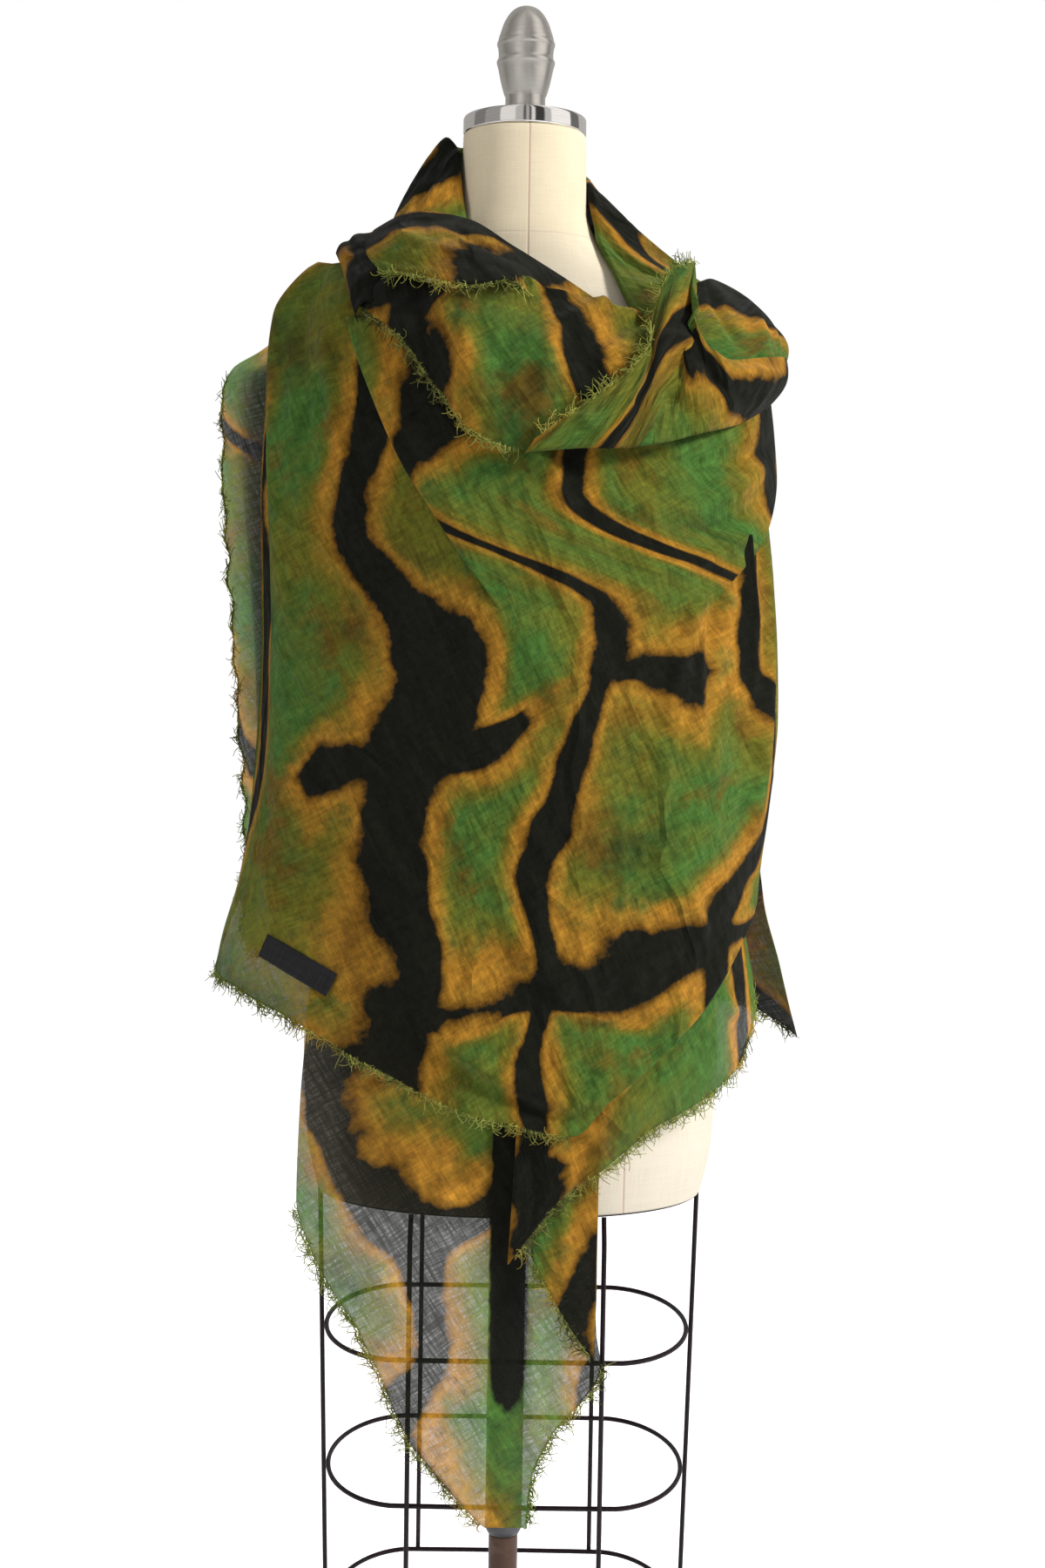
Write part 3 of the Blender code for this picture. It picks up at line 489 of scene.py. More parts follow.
# Each stretch of cloth: its surface, its cells across and down, the flat size it was cut to and
# that cut's area, the turn of its weave in degrees, and where it lies in the dyed length.
HANGING = {
    "front_panel": (panel_point, 190, 150, (0.80, 0.63), 0.37, 28.0, (-0.10, 0.06)),
    "back_drape": (back_point, 130, 160, (0.55, 0.70), 0.33, -24.0, (0.78, 0.35)),
    "chest_drape": (chest_point, 100, 74, (0.42, 0.30), 0.075, 28.0, (-0.10, 0.06)),
}
NECK = {
    "shoulder_fold": (ear_point, 26, 44, (0.07, 0.17), 0.0095, 12.0, (0.15, 0.70)),
    "collar": (band_point(COLLAR), 136, 30, (0.54, 0.12), 0.053, 8.0, (0.40, 0.10)),
    "cowl_inner": (band_point(INNER), 80, 20, (0.23, 0.09), 0.0155, 14.0, (0.30, 0.52)),
    "cowl_front": (band_point(COWL), 88, 40, (0.32, 0.13), 0.029, 34.0, (0.62, 0.20)),
    "roll_front": (band_point(ROLL_FRONT), 160, 36, (0.45, 0.12), 0.030, -30.0, (0.25, 0.95)),
    "roll_back": (band_point(ROLL_BACK), 96, 30, (0.35, 0.13), 0.024, -38.0, (0.80, 0.60)),
}
LOW = {
    "under_fold": (band_point(UNDER), 96, 44, (0.35, 0.17), 0.034, 20.0, (0.50, 0.30)),
    "tail": (tail_point, 72, 120, (0.25, 0.48), 0.083, 32.0, (0.10, 0.42)),
    "tail_fold": (tail_fold_point, 20, 44, (0.07, 0.20), 0.0090, 24.0, (0.75, 0.10)),
}

# Frayed edges: the cloth, its side, and the stretch that is frayed.
FRAYED = {
    "fringe_back_edge": ("back_drape", "right", 0.17, 0.99),
    "fringe_back_hem": ("back_drape", "low", 0.01, 0.99),
    "fringe_hem": ("front_panel", "low", 0.11, 0.57),
    "fringe_cowl": ("cowl_front", "low", 0.02, 0.53),
    "fringe_inner": ("cowl_inner", "low", 0.02, 0.60),
    "fringe_flap": ("roll_front", "top", 0.03, 0.53),
    "fringe_under": ("under_fold", "low", 0.02, 0.98),
    "fringe_tail_left": ("tail", "left", 0.42, 0.99),
    "fringe_tail_right": ("tail", "right", 0.70, 0.99),
    "fringe_tail_fold": ("tail_fold", "low", 0.04, 0.96),
}

# Folded edges: the side, the stretch that is folded, and the fold's radius.
FOLDED = {
    "front_panel": (("low", 0.60, 1.0, 0.0028), ("right", 0.0, 1.0, 0.0012)),
    "chest_drape": (("left", 0.0, 0.86, 0.0034), ("right", 0.0, 0.86, 0.0030)),
    "back_drape": (),
    "shoulder_fold": (),
    "collar": (("top", 0.0, 1.0, 0.0030),),
    "cowl_inner": (("top", 0.0, 1.0, 0.0026),),
    "cowl_front": (("top", 0.0, 1.0, 0.0040), ("low", 0.58, 1.0, 0.0024)),
    "roll_front": (("low", 0.0, 0.93, 0.0036), ("top", 0.58, 0.80, 0.0030)),
    "roll_back": (("low", 0.0, 1.0, 0.0030),),
    "under_fold": (("left", 0.0, 1.0, 0.0026),),
    "tail": (("right", 0.0, 0.62, 0.0022),),
    "tail_fold": (("right", 0.0, 0.9, 0.0018),),
}

# Creases, listed one by one, each from one place to another in shares across and down the cloth:
# how far it bows, its half width, how far it lifts, and whether it starts at full strength.
CREASE_COLUMNS = "from_across from_down to_across to_down bow width lift starts"
CREASES = {
    "front_panel": table(
        CREASE_COLUMNS,
        (0.44, 0.885, 0.62, 0.965, 0.10, 0.0078, 0.0080, 0),
        (0.45, 0.925, 0.60, 0.985, 0.08, 0.0060, -0.0058, 0),
        (0.50, 0.70, 0.62, 0.89, 0.04, 0.0046, 0.0043, 0),
        (0.61, 0.58, 0.625, 0.73, 0.02, 0.0032, 0.0038, 0),
        (0.70, 0.33, 0.66, 0.64, 0.06, 0.0083, 0.0075, 1),
        (0.735, 0.30, 0.72, 0.60, 0.04, 0.0069, -0.0072, 1),
        (0.77, 0.26, 0.79, 0.55, -0.04, 0.0083, 0.0072, 1),
        (0.81, 0.22, 0.83, 0.44, -0.02, 0.0064, -0.0058, 1),
        (0.86, 0.30, 0.84, 0.86, 0.05, 0.0110, 0.0087, 0),
        (0.90, 0.20, 0.91, 0.78, 0.04, 0.0083, -0.0072, 0),
        (0.20, 0.02, 0.25, 0.46, 0.06, 0.0092, 0.0072, 1),
        (0.25, 0.04, 0.31, 0.34, 0.04, 0.0074, -0.0058, 1),
        (0.30, 0.10, 0.36, 0.30, 0.03, 0.0055, 0.0043, 1),
        (0.13, 0.02, 0.17, 0.52, 0.05, 0.0101, -0.0072, 1),
        (0.22, 0.82, 0.35, 0.90, 0.10, 0.0055, 0.0043, 0),
        (0.26, 0.91, 0.41, 0.955, 0.06, 0.0051, -0.0041, 0),
        (0.33, 0.60, 0.46, 0.76, 0.06, 0.0055, 0.0032, 0),
        (0.40, 0.52, 0.50, 0.58, -0.10, 0.0046, 0.0029, 0),
        (0.66, 0.70, 0.74, 0.92, -0.05, 0.0074, 0.0058, 0),
        (0.56, 0.80, 0.66, 0.955, 0.04, 0.0055, -0.0043, 0),
        (0.06, 0.10, 0.07, 0.90, 0.03, 0.0129, 0.0087, 0),
    ),
    "chest_drape": table(
        CREASE_COLUMNS,
        (0.085, 0.12, 0.29, 0.68, -0.08, 0.0060, 0.0090, 0),
        (0.15, 0.16, 0.33, 0.62, -0.06, 0.0101, -0.0072, 0),
        (0.03, 0.10, 0.06, 0.80, 0.01, 0.0083, 0.0029, 0),
        (0.86, 0.44, 0.36, 0.60, -0.16, 0.0083, 0.0072, 0),
        (0.92, 0.30, 0.40, 0.44, -0.18, 0.0074, -0.0065, 0),
        (0.92, 0.64, 0.50, 0.80, -0.14, 0.0078, 0.0061, 0),
        (0.90, 0.54, 0.55, 0.69, -0.14, 0.0055, -0.0051, 0),
        (0.34, 0.66, 0.22, 0.92, 0.04, 0.0055, 0.0038, 0),
    ),
    "back_drape": table(
        CREASE_COLUMNS,
        (0.16, 0.02, 0.20, 0.62, 0.02, 0.0092, 0.0072, 1),
        (0.30, 0.04, 0.27, 0.50, 0.02, 0.0074, -0.0061, 1),
        (0.41, 0.02, 0.44, 0.72, 0.02, 0.0083, 0.0067, 1),
        (0.52, 0.06, 0.50, 0.40, 0.02, 0.0055, -0.0049, 1),
        (0.63, 0.02, 0.58, 0.55, 0.03, 0.0078, 0.0072, 1),
        (0.72, 0.10, 0.76, 0.80, 0.02, 0.0092, -0.0067, 0),
        (0.84, 0.08, 0.86, 0.66, 0.02, 0.0074, 0.0061, 0),
        (0.93, 0.20, 0.95, 0.86, 0.02, 0.0064, -0.0052, 0),
        (0.30, 0.62, 0.36, 0.99, 0.02, 0.0083, 0.0072, 0),
        (0.55, 0.66, 0.60, 0.97, 0.02, 0.0074, -0.0058, 0),
        (0.30, 0.12, 0.62, 0.16, 0.10, 0.0064, 0.0049, 0),
        (0.24, 0.20, 0.52, 0.27, 0.12, 0.0074, -0.0046, 0),
    ),
    "cowl_front": table(
        CREASE_COLUMNS,
        (0.05, 0.05, 0.18, 0.92, 0.05, 0.0064, 0.0043, 0),
        (0.19, 0.00, 0.34, 0.95, 0.05, 0.0078, -0.0052, 1),
        (0.42, 0.02, 0.44, 0.80, 0.05, 0.0074, 0.0043, 0),
        (0.62, 0.00, 0.52, 0.95, 0.08, 0.0092, -0.0049, 1),
        (0.82, 0.00, 0.62, 0.86, 0.12, 0.0074, 0.0061, 1),
        (0.97, 0.05, 0.74, 0.84, 0.12, 0.0064, -0.0058, 1),
    ),
    "cowl_inner": table(
        CREASE_COLUMNS,
        (0.10, 0.30, 0.42, 0.62, 0.10, 0.0055, 0.0043, 0),
        (0.30, 0.15, 0.62, 0.42, 0.08, 0.0055, -0.0041, 0),
        (0.04, 0.75, 0.30, 0.80, 0.06, 0.0041, -0.0032, 0),
    ),
    "roll_front": table(
        CREASE_COLUMNS,
        (0.43, 0.28, 0.66, 0.60, 0.06, 0.0060, 0.0072, 0),
        (0.40, 0.60, 0.72, 0.86, 0.06, 0.0064, -0.0052, 0),
        (0.62, 0.30, 0.86, 0.62, 0.04, 0.0055, -0.0058, 0),
        (0.20, 0.20, 0.34, 0.80, 0.04, 0.0055, 0.0038, 0),
        (0.74, 0.10, 0.90, 0.30, 0.02, 0.0055, 0.0052, 0),
    ),
    "roll_back": table(
        CREASE_COLUMNS,
        (0.12, 0.05, 0.30, 0.80, 0.06, 0.0060, -0.0052, 0),
        (0.30, 0.05, 0.46, 0.90, 0.06, 0.0074, 0.0064, 0),
        (0.55, 0.10, 0.60, 0.90, 0.04, 0.0064, -0.0049, 0),
        (0.70, 0.20, 0.95, 0.55, 0.04, 0.0055, 0.0043, 0),
    ),
    "collar": table(
        CREASE_COLUMNS,
        (0.86, 0.02, 0.90, 0.90, 0.04, 0.0064, 0.0058, 1),
        (0.80, 0.00, 0.79, 0.85, 0.03, 0.0074, -0.0061, 1),
        (0.93, 0.10, 0.97, 0.80, 0.03, 0.0055, -0.0043, 0),
        (0.68, 0.02, 0.72, 0.95, 0.03, 0.0083, 0.0067, 1),
        (0.58, 0.05, 0.55, 0.80, 0.03, 0.0074, -0.0058, 0),
        (0.47, 0.00, 0.48, 0.90, 0.03, 0.0083, 0.0067, 1),
        (0.37, 0.05, 0.33, 0.95, 0.03, 0.0074, -0.0058, 0),
        (0.24, 0.05, 0.20, 0.80, 0.03, 0.0074, 0.0058, 0),
        (0.13, 0.10, 0.10, 0.80, 0.03, 0.0055, -0.0043, 0),
    ),
    "under_fold": table(
        CREASE_COLUMNS,
        (0.20, 0.25, 0.40, 0.90, 0.05, 0.0074, 0.0058, 0),
        (0.46, 0.10, 0.62, 0.85, 0.05, 0.0064, -0.0052, 0),
        (0.72, 0.10, 0.88, 0.80, 0.05, 0.0074, 0.0058, 0),
        (0.06, 0.30, 0.10, 0.90, 0.02, 0.0046, -0.0035, 0),
    ),
    "tail": table(
        CREASE_COLUMNS,
        (0.14, 0.05, 0.30, 0.72, 0.05, 0.0101, 0.0067, 0),
        (0.34, 0.10, 0.44, 0.86, 0.03, 0.0092, -0.0064, 0),
        (0.06, 0.25, 0.12, 0.62, 0.04, 0.0064, -0.0046, 0),
        (0.50, 0.12, 0.52, 0.70, 0.02, 0.0064, 0.0049, 0),
        (0.90, 0.05, 0.88, 0.62, 0.02, 0.0055, 0.0043, 0),
    ),
    "tail_fold": table(
        CREASE_COLUMNS,
        (0.45, 0.05, 0.55, 0.90, 0.03, 0.0055, 0.0038, 0),
    ),
    "shoulder_fold": table(
        CREASE_COLUMNS,
        (0.30, 0.10, 0.36, 0.80, 0.05, 0.0046, -0.0032, 0),
        (0.66, 0.20, 0.62, 0.90, 0.05, 0.0046, 0.0032, 0),
    ),
}

# Pressed fold lines: sharp crests with broad sides, in the same columns.
CRESTS = {
    "front_panel": table(
        CREASE_COLUMNS,
        (0.520, 0.34, 0.622, 0.66, -0.03, 0.0260, 0.0085, 1),
        (0.622, 0.66, 0.618, 0.73, 0.02, 0.0160, 0.0040, 0),
        (0.620, 0.71, 0.705, 0.55, 0.02, 0.0180, -0.0050, 0),
        (0.490, 0.70, 0.570, 0.82, 0.02, 0.0180, 0.0050, 0),
        (0.820, 0.24, 0.705, 0.345, 0.10, 0.0200, 0.0070, 1),
        (0.705, 0.345, 0.650, 0.55, 0.03, 0.0120, -0.0050, 1),
        (0.660, 0.11, 0.715, 0.24, 0.02, 0.0160, 0.0050, 0),
        (0.280, 0.44, 0.450, 0.60, 0.05, 0.0220, 0.0045, 0),
        (0.340, 0.80, 0.480, 0.62, 0.04, 0.0200, -0.0045, 0),
    ),
    "back_drape": table(
        CREASE_COLUMNS,
        (0.35, 0.18, 0.50, 0.55, 0.04, 0.0240, 0.0065, 0),
        (0.66, 0.30, 0.52, 0.70, 0.05, 0.0220, -0.0055, 0),
        (0.78, 0.55, 0.88, 0.92, 0.04, 0.0200, 0.0055, 0),
    ),
    "cowl_front": table(
        CREASE_COLUMNS,
        (0.30, 0.10, 0.46, 0.80, 0.04, 0.0140, 0.0040, 0),
        (0.70, 0.12, 0.60, 0.80, 0.05, 0.0140, 0.0040, 0),
    ),
}

# How sheer a stretch is, from 0 to 1.
SHEER = {
    "tail": 0.85,
    "tail_fold": 0.15,
    "under_fold": 0.25,
    "back_drape": 0.15,
    "front_panel": 0.05,
}
# Patches that are more or less sheer: the middle and half sizes in shares across and down, and by
# how much.
SHEER_PATCHES = {
    "front_panel": ((0.10, 0.90, 0.10, 0.14, 0.5), (0.28, 0.92, 0.08, 0.08, 0.4)),
    "back_drape": ((1.00, 0.50, 0.09, 0.60, 0.55),),
    "under_fold": ((0.92, 0.75, 0.14, 0.50, 0.6),),
    "tail": ((0.88, 0.20, 0.22, 0.30, -0.5), (0.40, 0.02, 0.60, 0.24, -0.5)),
}
# Painted shade in the recess of the tail's pleat: its middle and half sizes, in metres, and how
# much less sheer it is.
PLEAT_SHADE = (0.002, 0.635, 0.0165, 0.135)
PLEAT_CLOSED = 0.7
# How far the dye is carried on in a folded layer, so that its bands break at the fold, and the
# share down at which the carry has faded out, and over what share.
DYE_SHIFT = {"chest_drape": (0.135, 0.085)}
DYE_SHIFT_END = 0.92
DYE_SHIFT_RUN = 0.34
# How brightly a painted glow, which stands in for light from behind shining through, lies along a
# stretch's far side, from what share across it starts, and over what share it grows.
LIT_THROUGH = {"back_drape": 1.1}
LIT_START = 0.88
LIT_RUN = 0.08

# A crease is followed in this many straight steps, and fades at its ends by this power.
CREASE_STEPS = 8
CREASE_ENDS = 0.7
# How sharp the crest of a pressed fold line is, where a crease has 2.
CREST_SHARPNESS = 1.0

# The soft waves of a frayed side: how high and how far in they reach, their lengths, how strong the
# short ones are, how the long ones drift, and the share over which all fade at the ends.
FLUTTER_HEIGHT = 0.0011
FLUTTER_REACH = 0.011
FLUTTER_LONG = 0.0095
FLUTTER_SHORT = 0.0061
FLUTTER_SHORT_SHARE = 0.7
FLUTTER_SHORT_START = 2.0
FLUTTER_DRIFT = 1.7
FLUTTER_DRIFT_LENGTH = 0.041
FLUTTER_ENDS = 0.06

# A folded edge: its rows of points, how far it turns in, in degrees, the share over which it opens
# out at its ends, and the radius of an edge that isn't folded.
FOLD_STEPS = 6
FOLD_TURN = 200.0
FOLD_ENDS = 0.08
PLAIN_EDGE_RADIUS = 0.0002

# The dyed length is laid round the form at this reach, and down from this height.
DYED_REACH = 0.185
DYED_TOP = 1.42

# The threads of a frayed edge: their joints, how thin they end, how deep they are rooted, how
# unevenly they stand and how long the shortest and the longest are. Each thread slants, curls and
# rises by its own random amount, and curls more towards its tip by this power.
THREAD_JOINTS = 5
THREAD_TIP = 0.55
THREAD_ROOT = 0.0008
THREAD_JITTER = 0.0004
THREAD_LENGTHS = (0.45, 1.35)
THREAD_SLANT = 0.35
THREAD_CURL = 2.3
THREAD_CURL_POWER = 1.4
THREAD_RISE = 0.30
THREAD_RISE_AT_ROOT = 0.4
# Threads clump over these lengths, and slant and curl together by these amounts.
CLUMP_LENGTH = 0.0071
CLUMP_DRIFT = 2.0
CLUMP_DRIFT_LENGTH = 0.019
CLUMP_SLANT = 0.45
CLUMP_CURL = 0.8
# Loose threads that wander along a frayed edge: how far out they lie, how thin they are, their
# steps, and how far and how quickly they sway.
LOOSE_OFFSETS = (0.0016, 0.0034)
LOOSE_THINNESS = 0.9
LOOSE_STEP = 0.0022
LOOSE_SWAY = 0.0009
LOOSE_WAVE = 0.0032
LOOSE_WAVE_START = 900.0
LOOSE_JITTER = 0.0003

# The studio's lights: the place, where it points, its size, and the setting that holds its power.
LIGHTS = {
    "key_light": ((2.7, -1.35, 2.6), (0.0, 0.0, 1.05), 0.7, "key_power"),
    "fill_light": ((-2.1, -1.9, 1.6), (0.0, 0.0, 1.0), 1.4, "fill_power"),
    "top_light": ((0.3, 1.2, 3.2), (0.0, 0.0, 1.2), 1.2, "top_power"),
}
# The strips that the metal mirrors: where each ends, in shares round the form, and its tone.
TENT_STRIPS = (
    (0.20, 0.40), (0.28, 0.20), (0.37, 0.32), (0.45, 0.80), (0.49, 0.50), (0.505, 0.12),
    (0.52, 0.45), (0.532, 0.08), (0.551, 0.75), (0.60, 0.05), (0.636, 0.55), (0.758, 1.0),
    (0.83, 0.16), (1.0, 0.50),
)
STRIP_EDGE = 0.004
FLOOR_REACH = 9.0
FLOOR_GLOW = 0.62
# The camera that was fitted to the photo: its place, its tilt from straight down and its roll, in
# degrees, and its sensor's height in millimetres.
CAMERA_PLACE = (0.0065, -1.797, 1.10)
CAMERA_TILT = 86.7
CAMERA_ROLL = 0.9
SENSOR_HEIGHT = 36.0
WHITE = (1.0, 1.0, 1.0, 1.0)


def away_normals(spots):
    """Unit normals of a grid of points, pointing away from the form."""
    normals = unit(np.cross(np.gradient(spots, axis=1), np.gradient(spots, axis=0)))
    return normals if (normals * spots * (1, 1, 0)).sum() > 0 else -normals


def crease_lift(point, spots, rows, sharpness=2.0):
    """How far the creases lift each point of the grid out of the cloth."""
    lift = np.zeros(spots.shape[:2])
    share = np.linspace(0.0, 1.0, CREASE_STEPS + 1)
    for from_a, from_d, to_a, to_d, bow, width, height, starts in zip(*rows.values()):
        side = bow * np.sin(math.pi * share)
        line = point(
            between(from_a, to_a, share) - side * (to_d - from_d),
            between(from_d, to_d, share) + side * (to_a - from_a),
        )
        nearest, along = np.full(lift.shape, np.inf), np.zeros(lift.shape)
        for n in range(CREASE_STEPS):
            run = line[n + 1] - line[n]
            at = np.clip((spots - line[n]) @ run / (run @ run), 0.0, 1.0)
            gap = np.linalg.norm(spots - line[n] - at[..., None] * run, axis=2)
            along = np.where(gap < nearest, (n + at) / CREASE_STEPS, along)
            nearest = np.minimum(gap, nearest)
        ends = np.cos(math.pi / 2 * along) if starts else np.sin(math.pi * along)
        ends = np.clip(ends, 0.0, 1.0) ** CREASE_ENDS
        lift += height * np.exp(-((nearest / width) ** sharpness)) * ends
    return lift


def edge_flutter(spots, name):
    """Soft waves along the frayed sides, fading inwards."""
    lift = np.zeros(spots.shape[:2])
    rows, columns = lift.shape
    inward = {
        "low": (np.arange(rows)[::-1, None], 0, 1),
        "top": (np.arange(rows)[:, None], 0, 1),
        "left": (np.arange(columns)[None, :], 1, 0),
        "right": (np.arange(columns)[::-1][None, :], 1, 0),
    }
    for cloth, side, start, stop in FRAYED.values():
        if cloth != name:
            continue
        depth, axis, run = inward[side]
        cell = np.linalg.norm(np.diff(spots, axis=axis), axis=2).mean()
        step = np.linalg.norm(np.diff(spots, axis=run), axis=2).mean()
        count = lift.shape[run]
        at = np.arange(count) * step
        wave = np.sin(at / FLUTTER_LONG + FLUTTER_DRIFT * np.sin(at / FLUTTER_DRIFT_LENGTH))
        wave += FLUTTER_SHORT_SHARE * np.sin(at / FLUTTER_SHORT + FLUTTER_SHORT_START)
        share = np.linspace(0.0, 1.0, count)
        wave *= smooth_step((share - start) / FLUTTER_ENDS)
        wave *= smooth_step((stop - share) / FLUTTER_ENDS)
        wave = wave[None, :] if run == 1 else wave[:, None]
        lift += FLUTTER_HEIGHT * wave * np.exp(-depth * cell / FLUTTER_REACH)
    return lift


def side_first(grid, side):
    """The grid turned so that the named side is its first row."""
    if side in ("left", "right"):
        grid = grid.transpose(1, 0, 2)
    return grid[::-1] if side in ("low", "right") else grid


def side_back(grid, side):
    """The grid turned back again."""
    if side in ("low", "right"):
        grid = grid[::-1]
    return grid.transpose(1, 0, 2) if side in ("left", "right") else grid


def fold_edge(spots, side, start, stop, radius):
    """Carries the grid on round a soft fold at one side, turned in towards the form."""
    spots = side_first(spots, side)
    edge, normals = spots[0], away_normals(spots)[0]
    out = edge - spots[2]
    out = unit(out - normals * (out * normals).sum(1, keepdims=True))
    share = np.linspace(0.0, 1.0, len(edge))
    size = smooth_step((share - start) / FOLD_ENDS + (start <= 0))
    size *= smooth_step((stop - share) / FOLD_ENDS + (stop >= 1))
    size = np.maximum(radius * size, PLAIN_EDGE_RADIUS)[:, None]
    turned = []
    for n in range(FOLD_STEPS, 0, -1):
        angle = math.radians(FOLD_TURN * n / FOLD_STEPS)
        turned.append(edge + size * (math.sin(angle) * out - (1 - math.cos(angle)) * normals))
    return side_back(np.concatenate([np.array(turned), spots]), side)


def cloth_map(name, spots):
    """Where each point lies in the flat dyed length, in metres."""
    if name in HANGING:
        turn = np.unwrap(np.arctan2(spots[..., 0], -spots[..., 1]), axis=1)
        return np.stack([DYED_REACH * turn, DYED_TOP - spots[..., 2]], axis=-1)
    if name in ("tail", "tail_fold"):
        return np.stack([spots[..., 0], DYED_TOP - spots[..., 2]], axis=-1)
    across = np.linalg.norm(np.diff(spots, axis=1), axis=2).mean(0)
    down = np.linalg.norm(np.diff(spots, axis=0), axis=2)
    down = np.concatenate([np.zeros((1, down.shape[1])), np.cumsum(down, axis=0)])
    across = np.broadcast_to(np.concatenate([[0.0], np.cumsum(across)]), down.shape)
    return np.stack([across, down], axis=-1)


def cloth_masks(name, across, down, spots):
    """Masks over a stretch: how sheer, its painted pleat shade, how far the dye is carried on, its
    painted glow.
    """
    sheer = np.full(across.shape, SHEER.get(name, 0.0))
    for at_a, at_d, wide, high, amount in SHEER_PATCHES.get(name, ()):
        sheer += amount * np.exp(-(((across - at_a) / wide) ** 2) - ((down - at_d) / high) ** 2)
    # Painted shade in the pleat's recess: a mask that darkens the dye there and makes it less
    # sheer.
    stain_and_shade = np.zeros(across.shape)
    if name == "tail":
        at_x, at_z, wide, high = PLEAT_SHADE
        aside, above = (spots[..., 0] - at_x) / wide, (spots[..., 2] - at_z) / high
        stain_and_shade += np.exp(-(aside**4) - above**6)
    carried = smooth_step((DYE_SHIFT_END - down) / DYE_SHIFT_RUN)
    # Painted glow along a stretch's far side, standing in for light from behind.
    lit = LIT_THROUGH.get(name, 0.0) * smooth_step((across - LIT_START) / LIT_RUN)
    return np.stack([sheer - PLEAT_CLOSED * stain_and_shade, stain_and_shade, carried, lit], axis=-1)


def carry_masks(masks, side):
    """The masks carried on over the rows that a folded edge adds."""
    pad = np.zeros((3, 2), dtype=int)
    pad[int(side in ("left", "right")), int(side in ("low", "right"))] = FOLD_STEPS
    return np.pad(masks, pad, mode="edge")


def new_mesh(name, spots, faces, maps=None):
    """A smooth mesh of these points and faces, with a UV map for each set of places."""
    mesh = bpy.data.meshes.new(name)
    mesh.from_pydata(np.reshape(spots, (-1, 3)).tolist(), [], faces)
    corners = np.zeros(len(mesh.loops), dtype=np.int32)
    mesh.loops.foreach_get("vertex_index", corners)
    for map_name, places in (maps or {}).items():
        layer = mesh.uv_layers.new(name=map_name)
        layer.uv.foreach_set("vector", places.reshape(-1, 2)[corners].astype(np.float32).ravel())
    mesh.shade_smooth()
    return mesh


def grid_mesh(name, spots, maps):
    """A mesh of square cells over a grid of points, with named UV maps."""
    rows, columns = spots.shape[:2]
    index = np.arange(rows * columns).reshape(rows, columns)
    faces = np.stack([index[:-1, :-1], index[1:, :-1], index[1:, 1:], index[:-1, 1:]], axis=-1)
    return new_mesh(name, spots, faces.reshape(-1, 4).tolist(), maps)


def ring_faces(rings, around):
    """Faces that join rings of points from the lowest up, and close both ends."""
    index = np.arange(rings * around).reshape(rings, around)
    turned = np.roll(index, -1, axis=1)
    faces = np.stack([index[:-1], turned[:-1], turned[1:], index[1:]], axis=-1)
    return faces.reshape(-1, 4).tolist() + [index[0, ::-1].tolist(), index[-1].tolist()]


def add_piece(name, data, material, material_slot, *nodes):
    """Links a piece, puts it on the body and hides the solids that it stands for."""
    obj = bpy.data.objects.new(name, data)
    bpy.context.scene.collection.objects.link(obj)
    obj.data.materials.append(material)
    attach(obj, "root")
    if nodes:
        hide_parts(*nodes)
    return obj


def add_wall(obj, thickness):
    """Gives a sheet its thickness, half of it on each side."""
    wall = obj.modifiers.new("wall", "SOLIDIFY")
    wall.thickness = thickness
    wall.offset = 0.0


def add_stretch(name, spec):
    """One stretch of the shawl with its creases, folded edges and frayed edges."""
    point, across, down, flat, area, weave_turn, place = spec
    a, d = np.meshgrid(np.linspace(0, 1, across + 1), np.linspace(0, 1, down + 1))
    spots = point(a, d)
    lift = edge_flutter(spots, name) + crease_lift(point, spots, CREASES[name])
    if name in CRESTS:
        lift += crease_lift(point, spots, CRESTS[name], CREST_SHARPNESS)
    spots = spots + away_normals(spots) * lift[..., None]
    masks = cloth_masks(name, a, d, spots)
    edges = spots
    for side, start, stop, radius in FOLDED[name]:
        spots = fold_edge(spots, side, start, stop, radius)
        masks = carry_masks(masks, side)
    turn = math.radians(weave_turn)
    turned = np.array([[math.cos(turn), math.sin(turn)], [-math.sin(turn), math.cos(turn)]])
    flat_places = cloth_map(name, spots) @ turned + place
    maps = {
        "cloth": flat_places,
        "dye": flat_places + masks[..., 2:3] * DYE_SHIFT.get(name, (0.0, 0.0)),
        # The sheer map's second value carries the painted shade of the pleat's recess.
        "sheer": np.clip(masks[..., :2], 0.0, 1.0),
        "lit": np.repeat(masks[..., 3:], 2, axis=-1),
    }
    mesh = grid_mesh("linen_" + name, spots, maps)
    obj = add_piece("linen_" + name, mesh, linen_gauze(), "linen_gauze", name)
    add_wall(obj, bpy.context.scene.shawl.cloth_thickness)
    edge_places = cloth_map(name, edges) @ turned + place
    fringes = [
        add_fringe(fringe, edges, edge_places, side, start, stop, seed)
        for seed, (fringe, (cloth, side, start, stop)) in enumerate(FRAYED.items())
        if cloth == name
    ]
    return obj


